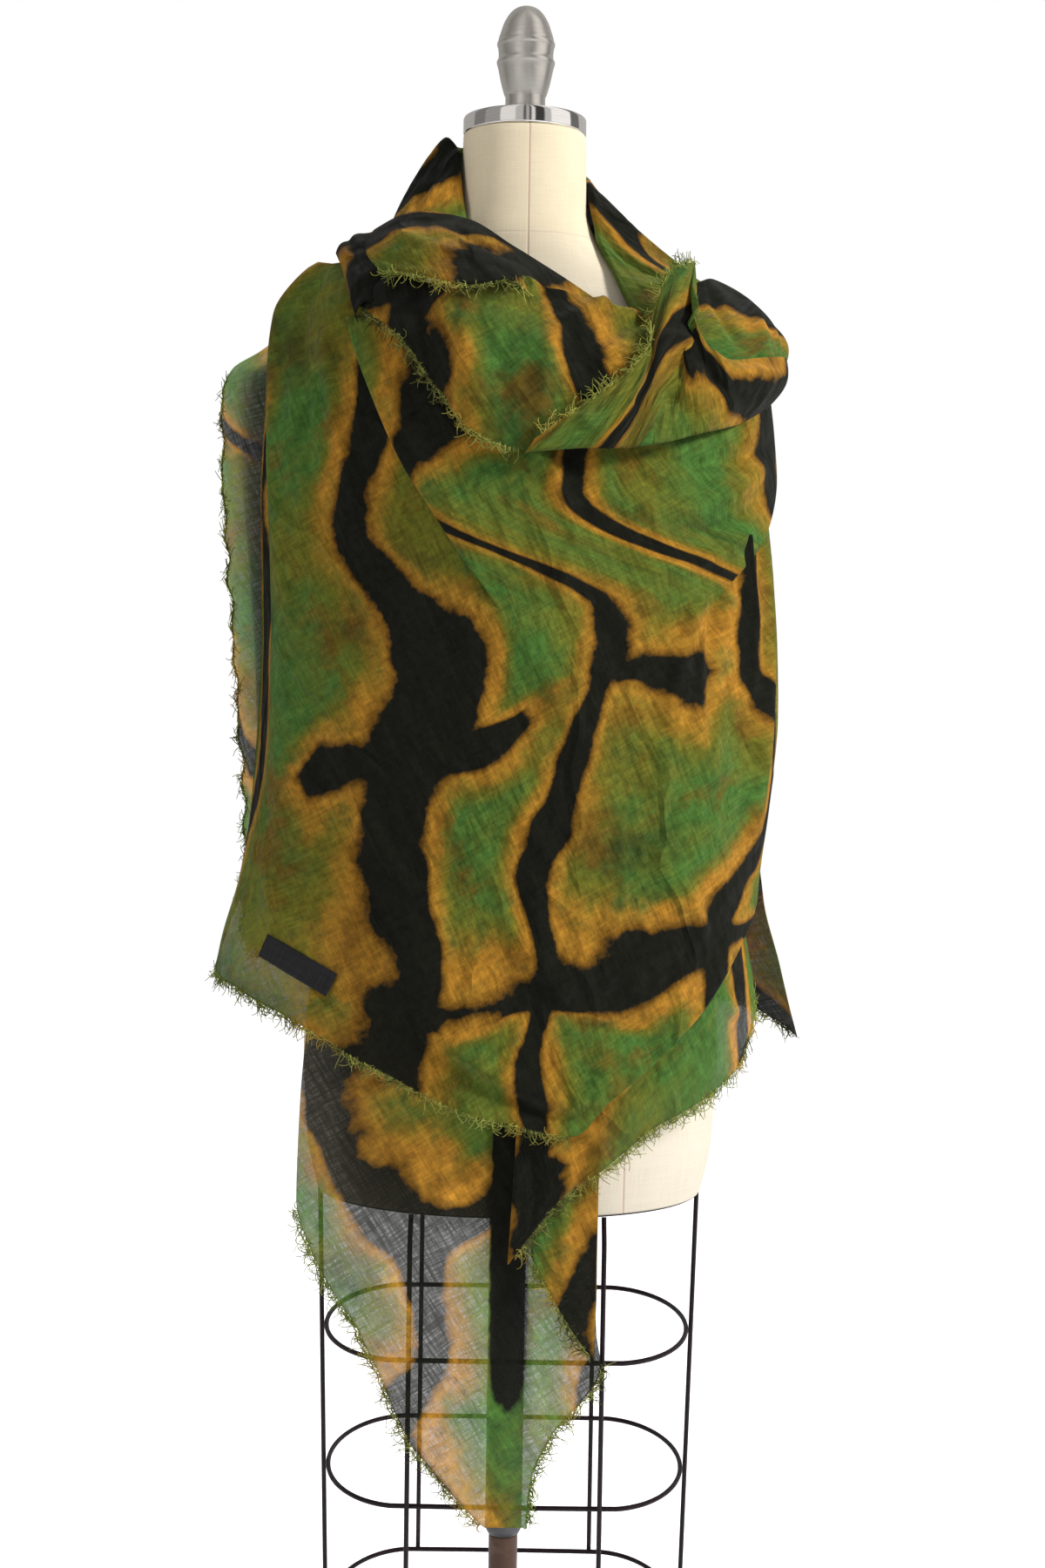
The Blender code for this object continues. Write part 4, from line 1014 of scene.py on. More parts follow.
def add_fringe(name, spots, places, side, start, stop, seed):
    """Fine curled threads along one frayed side, and two loose threads that wander along it."""
    settings = bpy.context.scene.shawl
    random = np.random.default_rng(seed)
    spots = side_first(spots, side)
    normals, places = away_normals(spots)[0], side_first(places, side)[0]
    edge, outward = spots[0], spots[0] - spots[1]
    lengths = np.concatenate([[0.0], np.cumsum(np.linalg.norm(np.diff(edge, axis=0), axis=1))])
    first, last = np.interp([start, stop], np.linspace(0, 1, len(edge)), lengths)

    def at(where, values):
        return np.stack([np.interp(where, lengths, column) for column in values.T], axis=-1)

    count = int((last - first) / settings.thread_spacing)
    where = np.linspace(first, last, count) + random.normal(0, THREAD_JITTER, count)
    along = unit(at(where + 0.001, edge) - at(where - 0.001, edge))
    face = unit(at(where, normals))
    out = at(where, outward)
    out = unit(out - along * (out * along).sum(1, keepdims=True))
    length = settings.thread_length * random.uniform(*THREAD_LENGTHS, count)
    clump = np.sin(where / CLUMP_LENGTH + CLUMP_DRIFT * np.sin(where / CLUMP_DRIFT_LENGTH))
    slant = CLUMP_SLANT * clump + random.normal(0, THREAD_SLANT, count)
    curl = random.normal(0, THREAD_CURL, count) + CLUMP_CURL * clump
    rise = random.normal(0, THREAD_RISE, count)
    centre = [at(where, edge) - THREAD_ROOT * out]
    for n in range(THREAD_JOINTS):
        angle = slant + curl * ((n + 0.5) / THREAD_JOINTS) ** THREAD_CURL_POWER
        step = np.cos(angle)[:, None] * out + np.sin(angle)[:, None] * along
        step = step + (rise * (THREAD_RISE_AT_ROOT + n / THREAD_JOINTS))[:, None] * face
        centre.append(centre[-1] + unit(step) * (length / THREAD_JOINTS)[:, None])
    radii = settings.thread_radius * np.linspace(1.0, THREAD_TIP, THREAD_JOINTS + 1)
    tubes = [thread_tubes(np.stack(centre, axis=1), face, radii)]
    thread_places = [np.repeat(at(where, places), 3 * (THREAD_JOINTS + 1), axis=0)]
    for offset in LOOSE_OFFSETS:
        steps = max(int((last - first) / LOOSE_STEP), 8)
        run = np.linspace(first, last, steps)
        away = offset + LOOSE_SWAY * np.sin(run / LOOSE_WAVE + LOOSE_WAVE_START * offset)
        away += random.normal(0, LOOSE_JITTER, steps)
        lift = random.normal(0, THREAD_JITTER, steps)
        line = at(run, edge) + away[:, None] * unit(at(run, outward))
        line += lift[:, None] * unit(at(run, normals))
        radii = np.full(steps, settings.thread_radius * LOOSE_THINNESS)
        tubes.append(thread_tubes(line[None], unit(at(run[:1], normals)), radii))
        thread_places.append(np.repeat(at(run, places), 3, axis=0))
    faces, base = [], 0
    for points, cells in tubes:
        faces += [[corner + base for corner in cell] for cell in cells]
        base += len(points)
    points = np.concatenate([points for points, _ in tubes])
    maps = {"dye": np.concatenate(thread_places)}
    mesh = new_mesh("linen_" + name, points, faces, maps)
    return add_piece("linen_" + name, mesh, linen_thread(), "linen_gauze", name)


def thread_tubes(centre, face, radii):
    """Three-sided tubes along many lines at once, closed at both ends."""
    count, stations = centre.shape[:2]
    way = np.gradient(centre, axis=1)
    side = unit(np.cross(way, face[:, None]))
    up = unit(np.cross(side, way))
    rings = []
    for n in range(3):
        angle = 2 * math.pi * n / 3
        ring = math.cos(angle) * side + math.sin(angle) * up
        rings.append(centre + radii[None, :, None] * ring)
    points = np.stack(rings, axis=2).reshape(-1, 3)
    index = np.arange(count * stations * 3).reshape(count, stations, 3)
    turned = np.roll(index, -1, axis=2)
    cells = np.stack([index[:, :-1], turned[:, :-1], turned[:, 1:], index[:, 1:]], axis=-1)
    cells = cells.reshape(-1, 4).tolist()
    cells += index[:, 0, ::-1].tolist() + index[:, -1].tolist()
    return points, cells


def node_group(name, inputs, outputs):
    """A new shader node group with these sockets, or None and the group that is there already."""
    if name in bpy.data.node_groups:
        return None, bpy.data.node_groups[name]
    group = bpy.data.node_groups.new(name, "ShaderNodeTree")
    for label, kind, default in inputs:
        socket = group.interface.new_socket(name=label, in_out="INPUT", socket_type=kind)
        if default is not None:
            socket.default_value = default
    for label, kind in outputs:
        group.interface.new_socket(name=label, in_out="OUTPUT", socket_type=kind)
    return Desk(group), group


class Desk:
    """Short ways to add and join the nodes of one tree."""

    def __init__(self, tree):
        self.tree = tree
        if tree.bl_idname == "ShaderNodeTree" and tree.name in bpy.data.node_groups:
            self.into = tree.nodes.new("NodeGroupInput")
            self.out = tree.nodes.new("NodeGroupOutput")

    def add(self, kind, **settings):
        node = self.tree.nodes.new("ShaderNode" + kind)
        for key, value in settings.items():
            setattr(node, key, value)
        return node

    def join(self, source, socket):
        if isinstance(source, (int, float, tuple, list)):
            socket.default_value = source
        else:
            self.tree.links.new(source, socket)

    def join_all(self, sources, sockets):
        for source, socket in zip(sources, sockets):
            self.join(source, socket)

    def math(self, operation, *values):
        node = self.add("Math", operation=operation)
        self.join_all(values, node.inputs)
        return node.outputs[0]

    def vector(self, operation, *values):
        node = self.add("VectorMath", operation=operation)
        self.join_all(values, node.inputs)
        return node.outputs[0]

    def split(self, vector):
        """The X, Y and Z of a vector, by name."""
        node = self.add("SeparateXYZ")
        self.join(vector, node.inputs[0])
        return node.outputs

    def combine(self, x, y):
        node = self.add("CombineXYZ")
        self.join_all((x, y), node.inputs)
        return node.outputs[0]

    def uv(self, name):
        return self.add("UVMap", uv_map=name).outputs["UV"]

    def noise(self, vector, scale, detail=2.0, roughness=0.5, output="Fac"):
        node = self.add("TexNoise")
        self.join(vector, node.inputs["Vector"])
        node.inputs["Scale"].default_value = scale
        node.inputs["Detail"].default_value = detail
        node.inputs["Roughness"].default_value = roughness
        return node.outputs[output]

    def remap(self, value, low, high, to_low=0.0, to_high=1.0):
        node = self.add("MapRange")
        self.join_all((value, low, high, to_low, to_high), node.inputs)
        return node.outputs[0]

    def mix(self, share, first, second, blend="MIX"):
        node = self.add("Mix", data_type="RGBA", blend_type=blend)
        self.join(share, node.inputs["Factor"])
        self.join(first, node.inputs[6])
        self.join(second, node.inputs[7])
        return node.outputs[2]

    def tint(self, colour, shade):
        """A colour multiplied by a shade or by another colour."""
        return self.mix(1.0, colour, shade, "MULTIPLY")

    def ramp(self, value, stops, ease="LINEAR"):
        node = self.add("ValToRGB")
        node.color_ramp.interpolation = ease
        elements = node.color_ramp.elements
        while len(elements) < len(stops):
            elements.new(0.5)
        for element, (position, colour) in zip(elements, stops):
            element.position = position
            element.color = (*colour, 1.0)
        self.join(value, node.inputs["Fac"])
        return node.outputs["Color"]

    def place(self, group, **values):
        node = self.add("Group", node_tree=group)
        for key, value in values.items():
            self.join(value, node.inputs[key])
        return node.outputs


def resist_dye():
    """Wavy resist bands with rungs between them: dark cores, ochre halos, a mottled green field."""
    desk, group = node_group(
        "resist_dye", [("Place", "NodeSocketVector", None)], [("Colour", "NodeSocketColor")]
    )
    if desk is None:
        return group
    dye = bpy.context.scene.shawl
    place = desk.into.outputs["Place"]
    middle = (0.5, 0.5, 0.5)
    # The bands wander, and their edges bleed a little.
    drift = desk.vector("SUBTRACT", desk.noise(place, 4.2, 1.0, output="Color"), middle)
    bleed = desk.vector("SUBTRACT", desk.noise(place, 34.0, 4.0, 0.6, "Color"), middle)
    wavy = desk.vector("MULTIPLY_ADD", drift, (0.26, 0.26, 0.0), place)
    wavy = desk.split(desk.vector("MULTIPLY_ADD", bleed, (0.020, 0.020, 0.0), wavy))
    # How near the closest band or rung is, with cores that swell and thin out.
    slant = desk.math("MULTIPLY_ADD", wavy["Y"], 0.55, wavy["X"])
    cross = desk.math("MULTIPLY_ADD", wavy["X"], -0.35, wavy["Y"])
    bands = desk.math("PINGPONG", slant, dye.band_spacing / 2)
    rungs = desk.math("PINGPONG", cross, dye.band_spacing * 0.62)
    # Some of the rungs between the bands are missed out.
    missed = desk.remap(desk.noise(place, 3.1, 0.0), 0.44, 0.56, 0.0, 0.09)
    near = desk.math("SMOOTH_MIN", bands, desk.math("ADD", rungs, missed), 0.022)
    swell = desk.math("SUBTRACT", desk.noise(place, 9.0, 2.0), 0.5)
    near = desk.math("MULTIPLY_ADD", swell, 0.044, near)
    # The colours from a core outwards.
    brown, deep = tuple(0.40 * c for c in dye.ochre), tuple(0.55 * c for c in dye.green)
    core = dye.core_width / 2
    halo = core + dye.halo_width
    stops = [
        (core, dye.black), (core + 0.003, brown), (core + 0.009, dye.ochre), (halo, dye.ochre),
        (halo + 0.010, dye.olive), (halo + 0.024, dye.green), (0.085, dye.green), (0.110, deep),
    ]
    widest = 0.12
    stops = [(distance / widest, shade) for distance, shade in stops]
    colour = desk.ramp(desk.math("DIVIDE", near, widest), stops)
    # Mottling: olive over the green, green over the ochre, brown stains and dark smudges.
    field = desk.remap(near, core + 0.004, core + 0.016)
    for scale, low, high, depth, shade in (
        (8.0, 0.43, 0.60, 0.90, dye.olive),
        (13.0, 0.53, 0.68, 0.75, dye.green),
        (17.0, 0.52, 0.66, 0.75, brown),
        (26.0, 0.54, 0.70, 0.55, deep),
        (7.0, 0.56, 0.70, 0.70, dye.black),
    ):
        stain_and_shade = desk.remap(desk.noise(place, scale, 5.0, 0.62), low, high, 0.0, depth)
        colour = desk.mix(desk.math("MULTIPLY", stain_and_shade, field), colour, (*shade, 1.0))
    grain = desk.remap(desk.noise(place, 150.0, 3.0, 0.7), 0.30, 0.70, 0.72, 1.28)
    desk.join(desk.tint(colour, grain), desk.out.inputs["Colour"])
    return group


def loose_weave():
    """Slubby crossed threads: their shade, the gaps between them and their relief."""
    desk, group = node_group(
        "loose_weave",
        [("Place", "NodeSocketVector", None), ("Thread", "NodeSocketFloat", 0.0030)],
        [("Shade", "NodeSocketFloat"), ("Gaps", "NodeSocketFloat"), ("Height", "NodeSocketFloat")],
    )
    if desk is None:
        return group
    place, thread = desk.into.outputs["Place"], desk.into.outputs["Thread"]
    across_thread = desk.math("DIVIDE", 1.0, thread)
    along_thread = 24.0

    def threads(scale):
        stretched = desk.vector("MULTIPLY", place, scale)
        coarse, fine = desk.noise(stretched, 1.0, 1.0), desk.noise(stretched, 2.7, 1.0)
        return desk.math("MULTIPLY_ADD", fine, 0.45, desk.math("MULTIPLY", coarse, 0.55))

    warp = threads(desk.combine(along_thread, across_thread))
    weft = threads(desk.combine(across_thread, along_thread))
    both = desk.math("MULTIPLY", desk.math("ADD", warp, weft), 0.5)
    desk.join(desk.remap(both, 0.38, 0.62), desk.out.inputs["Shade"])
    low_warp, low_weft = desk.remap(warp, 0.60, 0.34), desk.remap(weft, 0.60, 0.34)
    desk.join(desk.math("MULTIPLY", low_warp, low_weft), desk.out.inputs["Gaps"])
    desk.join(desk.math("MAXIMUM", warp, weft), desk.out.inputs["Height"])
    return group


def new_material(name, colour, roughness, metallic=0.0, specular=0.5):
    """A new material, the desk for its nodes, and its shader."""
    material = bpy.data.materials.new(name)
    material.use_nodes = True
    material.diffuse_color = (*colour, 1.0)
    shader = material.node_tree.nodes["Principled BSDF"]
    shader.inputs["Base Color"].default_value = (*colour, 1.0)
    shader.inputs["Roughness"].default_value = roughness
    shader.inputs["Metallic"].default_value = metallic
    shader.inputs["Specular IOR Level"].default_value = specular
    return material, Desk(material.node_tree), shader


def bump(desk, shader, height, distance, strength=1.0, under=None):
    """Relief on a shader, over the relief of another bump where one is given."""
    node = desk.add("Bump")
    if under:
        desk.join(under.outputs["Normal"], node.inputs["Normal"])
    node.inputs["Distance"].default_value = distance
    node.inputs["Strength"].default_value = strength
    desk.join(height, node.inputs["Height"])
    desk.join(node.outputs["Normal"], shader.inputs["Normal"])
    return node


def linen_gauze():
    """Dyed gauze: slubby, matt, a little open, and sheer where a single layer hangs free."""
    if "dyed_linen_gauze" in bpy.data.materials:
        return bpy.data.materials["dyed_linen_gauze"]
    dye = bpy.context.scene.shawl
    material, desk, shader = new_material("dyed_linen_gauze", tuple(dye.green), 0.95, specular=0.05)
    shader.inputs["Sheen Weight"].default_value = 0.03
    shader.inputs["Sheen Roughness"].default_value = 0.6
    place, masks = desk.uv("cloth"), desk.split(desk.uv("sheer"))
    sheer, recess = masks["X"], masks["Y"]
    weave = desk.place(loose_weave(), Place=place, Thread=0.0019)
    slubs = desk.place(loose_weave(), Place=place, Thread=0.0036)

    # The dye, darkened by painted shade in the pleat's recess, and the tone of the threads.
    colour = desk.place(resist_dye(), Place=desk.uv("dye"))["Colour"]
    recess = desk.math("SUBTRACT", recess, 0.25)
    recess = desk.math("MULTIPLY_ADD", desk.noise(place, 60.0, 3.0), 0.5, recess)
    colour = desk.mix(desk.remap(recess, 0.42, 0.58), colour, (*dye.black, 1.0))
    shade = desk.remap(weave["Shade"], 0.0, 1.0, 0.80, 1.18)
    slub_shade = desk.remap(slubs["Shade"], 0.0, 1.0, 0.86, 1.14)
    colour = desk.tint(colour, desk.math("MULTIPLY", shade, slub_shade))
    desk.join(colour, shader.inputs["Base Color"])

    # Painted glow: where the cloth is thin, and along the back drape's far side, an emission in the
    # dye's colour stands in for light from behind shining through the threads.
    lit = desk.split(desk.uv("lit"))["X"]
    shine = desk.math("MULTIPLY_ADD", desk.remap(sheer, 0.2, 0.95), 0.55, lit)
    desk.join(desk.tint(colour, shine), shader.inputs["Emission Color"])
    shader.inputs["Emission Strength"].default_value = 1.0

    # The gaps between the threads open more in the sheer stretches. Only the outer side of each
    # wall is drawn, so that one layer isn't seen through twice.
    gaps = desk.math("MULTIPLY", weave["Gaps"], 0.7)
    gaps = desk.math("MULTIPLY_ADD", slubs["Gaps"], 0.35, gaps)
    reach = desk.math("MULTIPLY_ADD", sheer, 0.32, 0.03)
    opening = desk.math("MULTIPLY_ADD", gaps, reach, desk.math("MULTIPLY", sheer, 0.05))
    outside = desk.math("SUBTRACT", 1.0, desk.add("NewGeometry").outputs["Backfacing"])
    alpha = desk.math("MULTIPLY", desk.math("SUBTRACT", 1.0, opening), outside)
    desk.join(alpha, shader.inputs["Alpha"])

    # Soft rumples, small puckers and pressed ridges, and the relief of the threads over them.
    puckers = desk.noise(desk.vector("MULTIPLY", place, (1.0, 0.42, 1.0)), 62.0)
    rumple = desk.noise(place, 21.0)
    creased = desk.noise(desk.vector("MULTIPLY", place, (1.0, 0.55, 1.0)), 8.5, 2.0, 0.4)
    away = desk.math("ABSOLUTE", desk.math("SUBTRACT", creased, 0.5))
    ridges = desk.remap(away, 0.0, 0.030, 1.0, 0.0)
    relief = desk.math("MULTIPLY_ADD", rumple, 2.2, puckers)
    relief = desk.math("MULTIPLY_ADD", creased, 5.0, relief)
    relief = desk.math("MULTIPLY_ADD", ridges, 0.45, relief)
    soft = bump(desk, shader, relief, 0.0060)
    threads = desk.math("MULTIPLY_ADD", slubs["Height"], 0.6, weave["Height"])
    bump(desk, shader, threads, 0.0009, 0.7, soft)
    return material


def linen_thread():
    """The loose threads of a frayed edge, dyed like the cloth and paler in places."""
    if "frayed_linen_thread" in bpy.data.materials:
        return bpy.data.materials["frayed_linen_thread"]
    olive = tuple(bpy.context.scene.shawl.olive)
    material, desk, shader = new_material("frayed_linen_thread", olive, 0.85, specular=0.2)
    place = desk.uv("dye")
    colour = desk.place(resist_dye(), Place=place)["Colour"]
    fibre = desk.remap(desk.noise(place, 420.0, 1.0), 0.38, 0.64, 0.06, 0.68)
    desk.join(desk.mix(fibre, colour, (0.42, 0.44, 0.10, 1.0)), shader.inputs["Base Color"])
    return material


def label_tape():
    """Plain black woven tape."""
    black = (0.010, 0.010, 0.011)
    material, desk, shader = new_material("black_woven_tape", black, 0.75, specular=0.25)
    weave = desk.place(loose_weave(), Place=desk.uv("cloth"), Thread=0.0009)
    dark, pale = (0.006, 0.006, 0.007, 1.0), (0.020, 0.020, 0.022, 1.0)
    desk.join(desk.mix(weave["Shade"], dark, pale), shader.inputs["Base Color"])
    bump(desk, shader, weave["Height"], 0.0004, 0.6)
    return material


def add_label():
    """The bare label, lying on the front panel with its ends a little raised."""
    across, down = np.meshgrid(np.linspace(0, 1, 37), np.linspace(0, 1, 13))
    flat = np.stack([across * LABEL_LENGTH, down * LABEL_WIDTH], axis=-1)
    mesh = grid_mesh("label_tape", label_point(across, down), {"cloth": flat})
    obj = add_piece("label_tape", mesh, label_tape(), "label_cloth", "label")
    add_wall(obj, LABEL_THICKNESS)
    return obj


def form_linen():
    """Fine cream canvas with narrow sewn seams down the front and round the foot of the neck."""
    form = bpy.context.scene.dress_form
    linen = tuple(form.linen)
    material, desk, shader = new_material("cream_form_canvas", linen, 0.88, specular=0.2)
    place = desk.add("TexCoord").outputs["Object"]
    at = desk.split(place)
    angle = desk.math("ARCTAN2", at["X"], at["Y"])
    round_the_form = desk.combine(desk.math("MULTIPLY", angle, 0.12), at["Z"])
    weave = desk.place(loose_weave(), Place=round_the_form, Thread=0.0011)
    tone = desk.remap(desk.noise(place, 9.0, 4.0, 0.6), 0.35, 0.68)
    colour = desk.mix(tone, (*linen, 1.0), (*(0.90 * c for c in linen), 1.0))
    colour = desk.tint(colour, desk.remap(weave["Shade"], 0.0, 1.0, 0.93, 1.05))
    # The neck is tinted yellower towards its top.
    neck_tint = desk.tint(colour, (1.0, 0.95, 0.83, 1.0))
    colour = desk.mix(desk.remap(at["Z"], 1.36, 1.45), colour, neck_tint)

    def seam(axis, middle, strength):
        gap = desk.math("ABSOLUTE", desk.math("SUBTRACT", at[axis], middle))
        return desk.remap(gap, 0.0004, 0.0011, strength, 0.0)

    seams = 0.0
    for axis, middle, strength in (
        ("X", 0.004, 1.0), ("X", -0.092, 1.0), ("X", 0.092, 1.0), ("Z", 1.441, 0.30)
    ):
        seams = desk.math("MAXIMUM", seams, seam(axis, middle, strength))
    colour = desk.mix(desk.math("MULTIPLY", seams, 0.55), colour, (*form.seam, 1.0))
    # The dark binding of the lower rim.
    rim = desk.remap(at["Z"], TORSO_LOW + 0.0016, TORSO_LOW + 0.0028, 1.0, 0.0)
    colour = desk.mix(rim, colour, (*form.wire, 1.0))
    desk.join(colour, shader.inputs["Base Color"])
    relief = desk.math("MULTIPLY_ADD", seams, -2.5, weave["Height"])
    bump(desk, shader, relief, 0.0003, 0.5)
    return material


def bright_metal(name, colour, roughness, brushed):
    """Turned metal with fine marks round it."""
    material, desk, shader = new_material(name, colour, roughness, 1.0)
    place = desk.add("TexCoord").outputs["Object"]
    marks = desk.noise(desk.vector("MULTIPLY", place, (60.0, 60.0, 3200.0)), 1.0)
    smears = desk.noise(place, 38.0, 3.0)
    darker = (*(0.86 * c for c in colour), 1.0)
    tone = desk.mix(desk.remap(marks, 0.3, 0.7), (*colour, 1.0), darker)
    desk.join(tone, shader.inputs["Base Color"])
    worn = desk.math("ADD", marks, smears)
    spread = desk.remap(worn, 0.7, 1.3, roughness * 0.8, roughness * 1.25)
    desk.join(spread, shader.inputs["Roughness"])
    bump(desk, shader, marks, 0.00004, brushed)
    return material


def painted_metal(name, colour, roughness, metallic=0.0):
    """Satin paint with a faint orange peel, worn paler on some spots."""
    material, desk, shader = new_material(name, colour, roughness, metallic, 0.3)
    place = desk.add("TexCoord").outputs["Object"]
    peel = desk.noise(place, 320.0)
    worn = desk.math("MULTIPLY", desk.remap(desk.noise(place, 45.0, 4.0, 0.65), 0.60, 0.72), 0.6)
    paler = tuple(min(1.0, 1.9 * c + 0.01) for c in colour)
    desk.join(desk.mix(worn, (*colour, 1.0), (*paler, 1.0)), shader.inputs["Base Color"])
    spread = desk.remap(peel, 0.3, 0.7, roughness * 0.85, roughness * 1.2)
    desk.join(spread, shader.inputs["Roughness"])
    bump(desk, shader, peel, 0.0001, 0.4)
    return material


def add_torso():
    """A smooth closed loft, with its lower and upper edges rounded."""
    around, layers, radius = 128, 150, TORSO_EDGE_RADIUS
    rounding = np.radians([0, 22, 45, 67])
    top_drops, top_insets = (0.0015, 0.0006, 0.0), (0.0004, 0.0014)
    heights = np.concatenate([
        TORSO_LOW + radius * (1 - np.cos(rounding)),
        np.linspace(TORSO_LOW + radius, NECK_TOP - top_drops[0], layers),
        NECK_TOP - np.array(top_drops[1:]),
    ])
    inset = np.concatenate([radius * (1 - np.sin(rounding)), np.zeros(layers), top_insets])
    turn, z = np.meshgrid(np.linspace(0, 360, around, endpoint=False), heights)
    front = np.cos(np.radians(turn)) > 0
    depth = np.where(front, read(TORSO, "front", z), read(TORSO, "back", z)) - inset[:, None]
    spots = rounded_section(turn, read(TORSO, "side", z) - inset[:, None], depth, z)
    mesh = new_mesh("form_torso", spots, ring_faces(len(heights), around))
    return add_piece("form_torso", mesh, form_linen(), "form_linen", "torso")


def add_turned(name, profile, material, material_slot, node, sharp=35.0):
    """A profile of (radius, height) from the top down, turned about the upright axis."""
    around = 96
    turn = np.linspace(0, 360, around, endpoint=False)
    radius, z = np.array(profile[::-1]).T
    spots = polar(turn, radius[:, None], z[:, None])
    mesh = new_mesh(name, spots, ring_faces(len(profile), around))
    mesh.set_sharp_from_angle(angle=math.radians(sharp))
    return add_piece(name, mesh, material, material_slot, node)


def smooth_profile(rows, steps):
    """A turned outline from a short table of heights and radii, read on a smooth curve."""
    heights = np.linspace(rows["z"][-1], rows["z"][0], steps)
    return list(zip(read(rows, "radius", heights), heights))


def add_cap_and_finial():
    """The bright cap of the neck and the turned finial on it."""
    form = bpy.context.scene.dress_form
    low, top = NECK_TOP + SEAM_GAP, NECK_TOP + SEAM_GAP + CAP_HEIGHT
    cap = [
        (CAP_RADIUS - 0.0016, top), (CAP_RADIUS - 0.0007, top - 0.0003),
        (CAP_RADIUS - 0.0001, top - 0.0012), (CAP_RADIUS, top - 0.0024),
        (CAP_RADIUS, low + 0.0016), (CAP_RADIUS - 0.0004, low + 0.0006), (CAP_RADIUS - 0.0012, low),
    ]
    metal = bright_metal("bright_cap_metal", tuple(form.cap), 0.07, 0.15)
    add_turned("bright_neck_cap", cap, metal, "cap_metal", "neck_cap")
    outline = table(
        "z radius",
        (0.0000, 0.0163), (0.0012, 0.0166), (0.0060, 0.0166), (0.0078, 0.0157), (0.0096, 0.0163),
        (0.0170, 0.0163), (0.0190, 0.0172), (0.0300, 0.0204), (0.0420, 0.0230), (0.0437, 0.0236),
        (0.0455, 0.0238), (0.0475, 0.0228), (0.0500, 0.0223), (0.0570, 0.0229), (0.0588, 0.0236),
        (0.0602, 0.0237), (0.0620, 0.0229), (0.0640, 0.0225), (0.0700, 0.0206), (0.0770, 0.0181),
        (0.0840, 0.0138), (0.0880, 0.0094), (0.0900, 0.0046), (0.0905, 0.0006),
    )
    outline["z"] = outline["z"] + top + SEAM_GAP
    metal = bright_metal("brushed_finial_metal", tuple(form.finial), 0.34, 0.9)
    finial = smooth_profile(outline, 110)
    add_turned("brushed_finial", finial, metal, "finial_metal", "finial", 50.0)


def add_pole_and_base():
    """The round base with its hub, the pole, and the sleeve that the pole slides in."""
    form = bpy.context.scene.dress_form
    shares = (
        (0.74, 1.0), (0.82, 0.985), (0.94, 0.90), (1.0, 0.78), (1.14, 0.62), (1.36, 0.51),
    )
    base = [
        (0.008, BASE_HUB_HEIGHT),
        *((BASE_HUB_RADIUS * wide, BASE_HUB_HEIGHT * high) for wide, high in shares),
        (BASE_HUB_RADIUS * 1.7, BASE_HEIGHT),
        (BASE_RADIUS * 0.62, BASE_HEIGHT * 0.84), (BASE_RADIUS - 0.010, BASE_HEIGHT * 0.72),
        (BASE_RADIUS - 0.004, BASE_HEIGHT * 0.64), (BASE_RADIUS - 0.0008, BASE_HEIGHT * 0.46),
        (BASE_RADIUS, BASE_HEIGHT * 0.32), (BASE_RADIUS, 0.001), (BASE_RADIUS - 0.001, 0.0),
    ]
    paint = painted_metal("satin_black_iron", tuple(form.base), 0.45, 0.5)
    add_turned("round_base", base, paint, "base_iron", "base")
    edge = 0.0006
    low, top = BASE_HUB_HEIGHT + SEAM_GAP, SLEEVE_LOW - SEAM_GAP
    pole = [
        (POLE_RADIUS - edge, top), (POLE_RADIUS, top - edge),
        (POLE_RADIUS, low + edge), (POLE_RADIUS - edge, low),
    ]
    paint = painted_metal("satin_brown_paint", tuple(form.pole), 0.38)
    add_turned("brown_pole", pole, paint, "pole_paint", "pole")
    top = TORSO_LOW - SEAM_GAP
    sleeve = [
        (SLEEVE_RADIUS - edge, top), (SLEEVE_RADIUS, top - edge),
        (SLEEVE_RADIUS, SLEEVE_LOW + 0.0066), (SLEEVE_RADIUS - edge, SLEEVE_LOW + 0.0040),
        (SLEEVE_RADIUS - 0.0026, SLEEVE_LOW + 0.0004), (SLEEVE_RADIUS - 0.0034, SLEEVE_LOW),
    ]
    paint = painted_metal("satin_grey_sleeve", tuple(form.sleeve), 0.42, 0.2)
    add_turned("grey_sleeve", sleeve, paint, "sleeve", "pole_sleeve")


def add_wire(name, spots, cyclic, node, material):
    """A round wire along these points, closed into a ring where it is cyclic."""
    curve = bpy.data.curves.new(name, "CURVE")
    curve.dimensions = "3D"
    curve.bevel_depth = bpy.context.scene.dress_form.wire_radius
    curve.bevel_resolution = 3
    curve.use_fill_caps = not cyclic
    spline = curve.splines.new("POLY")
    spline.points.add(len(spots) - 1)
    for point, place in zip(spline.points, spots):
        point.co = (*place, 1.0)
    spline.use_cyclic_u = cyclic
    spline.use_smooth = True
    return add_piece(name, curve, material, "wire", node)


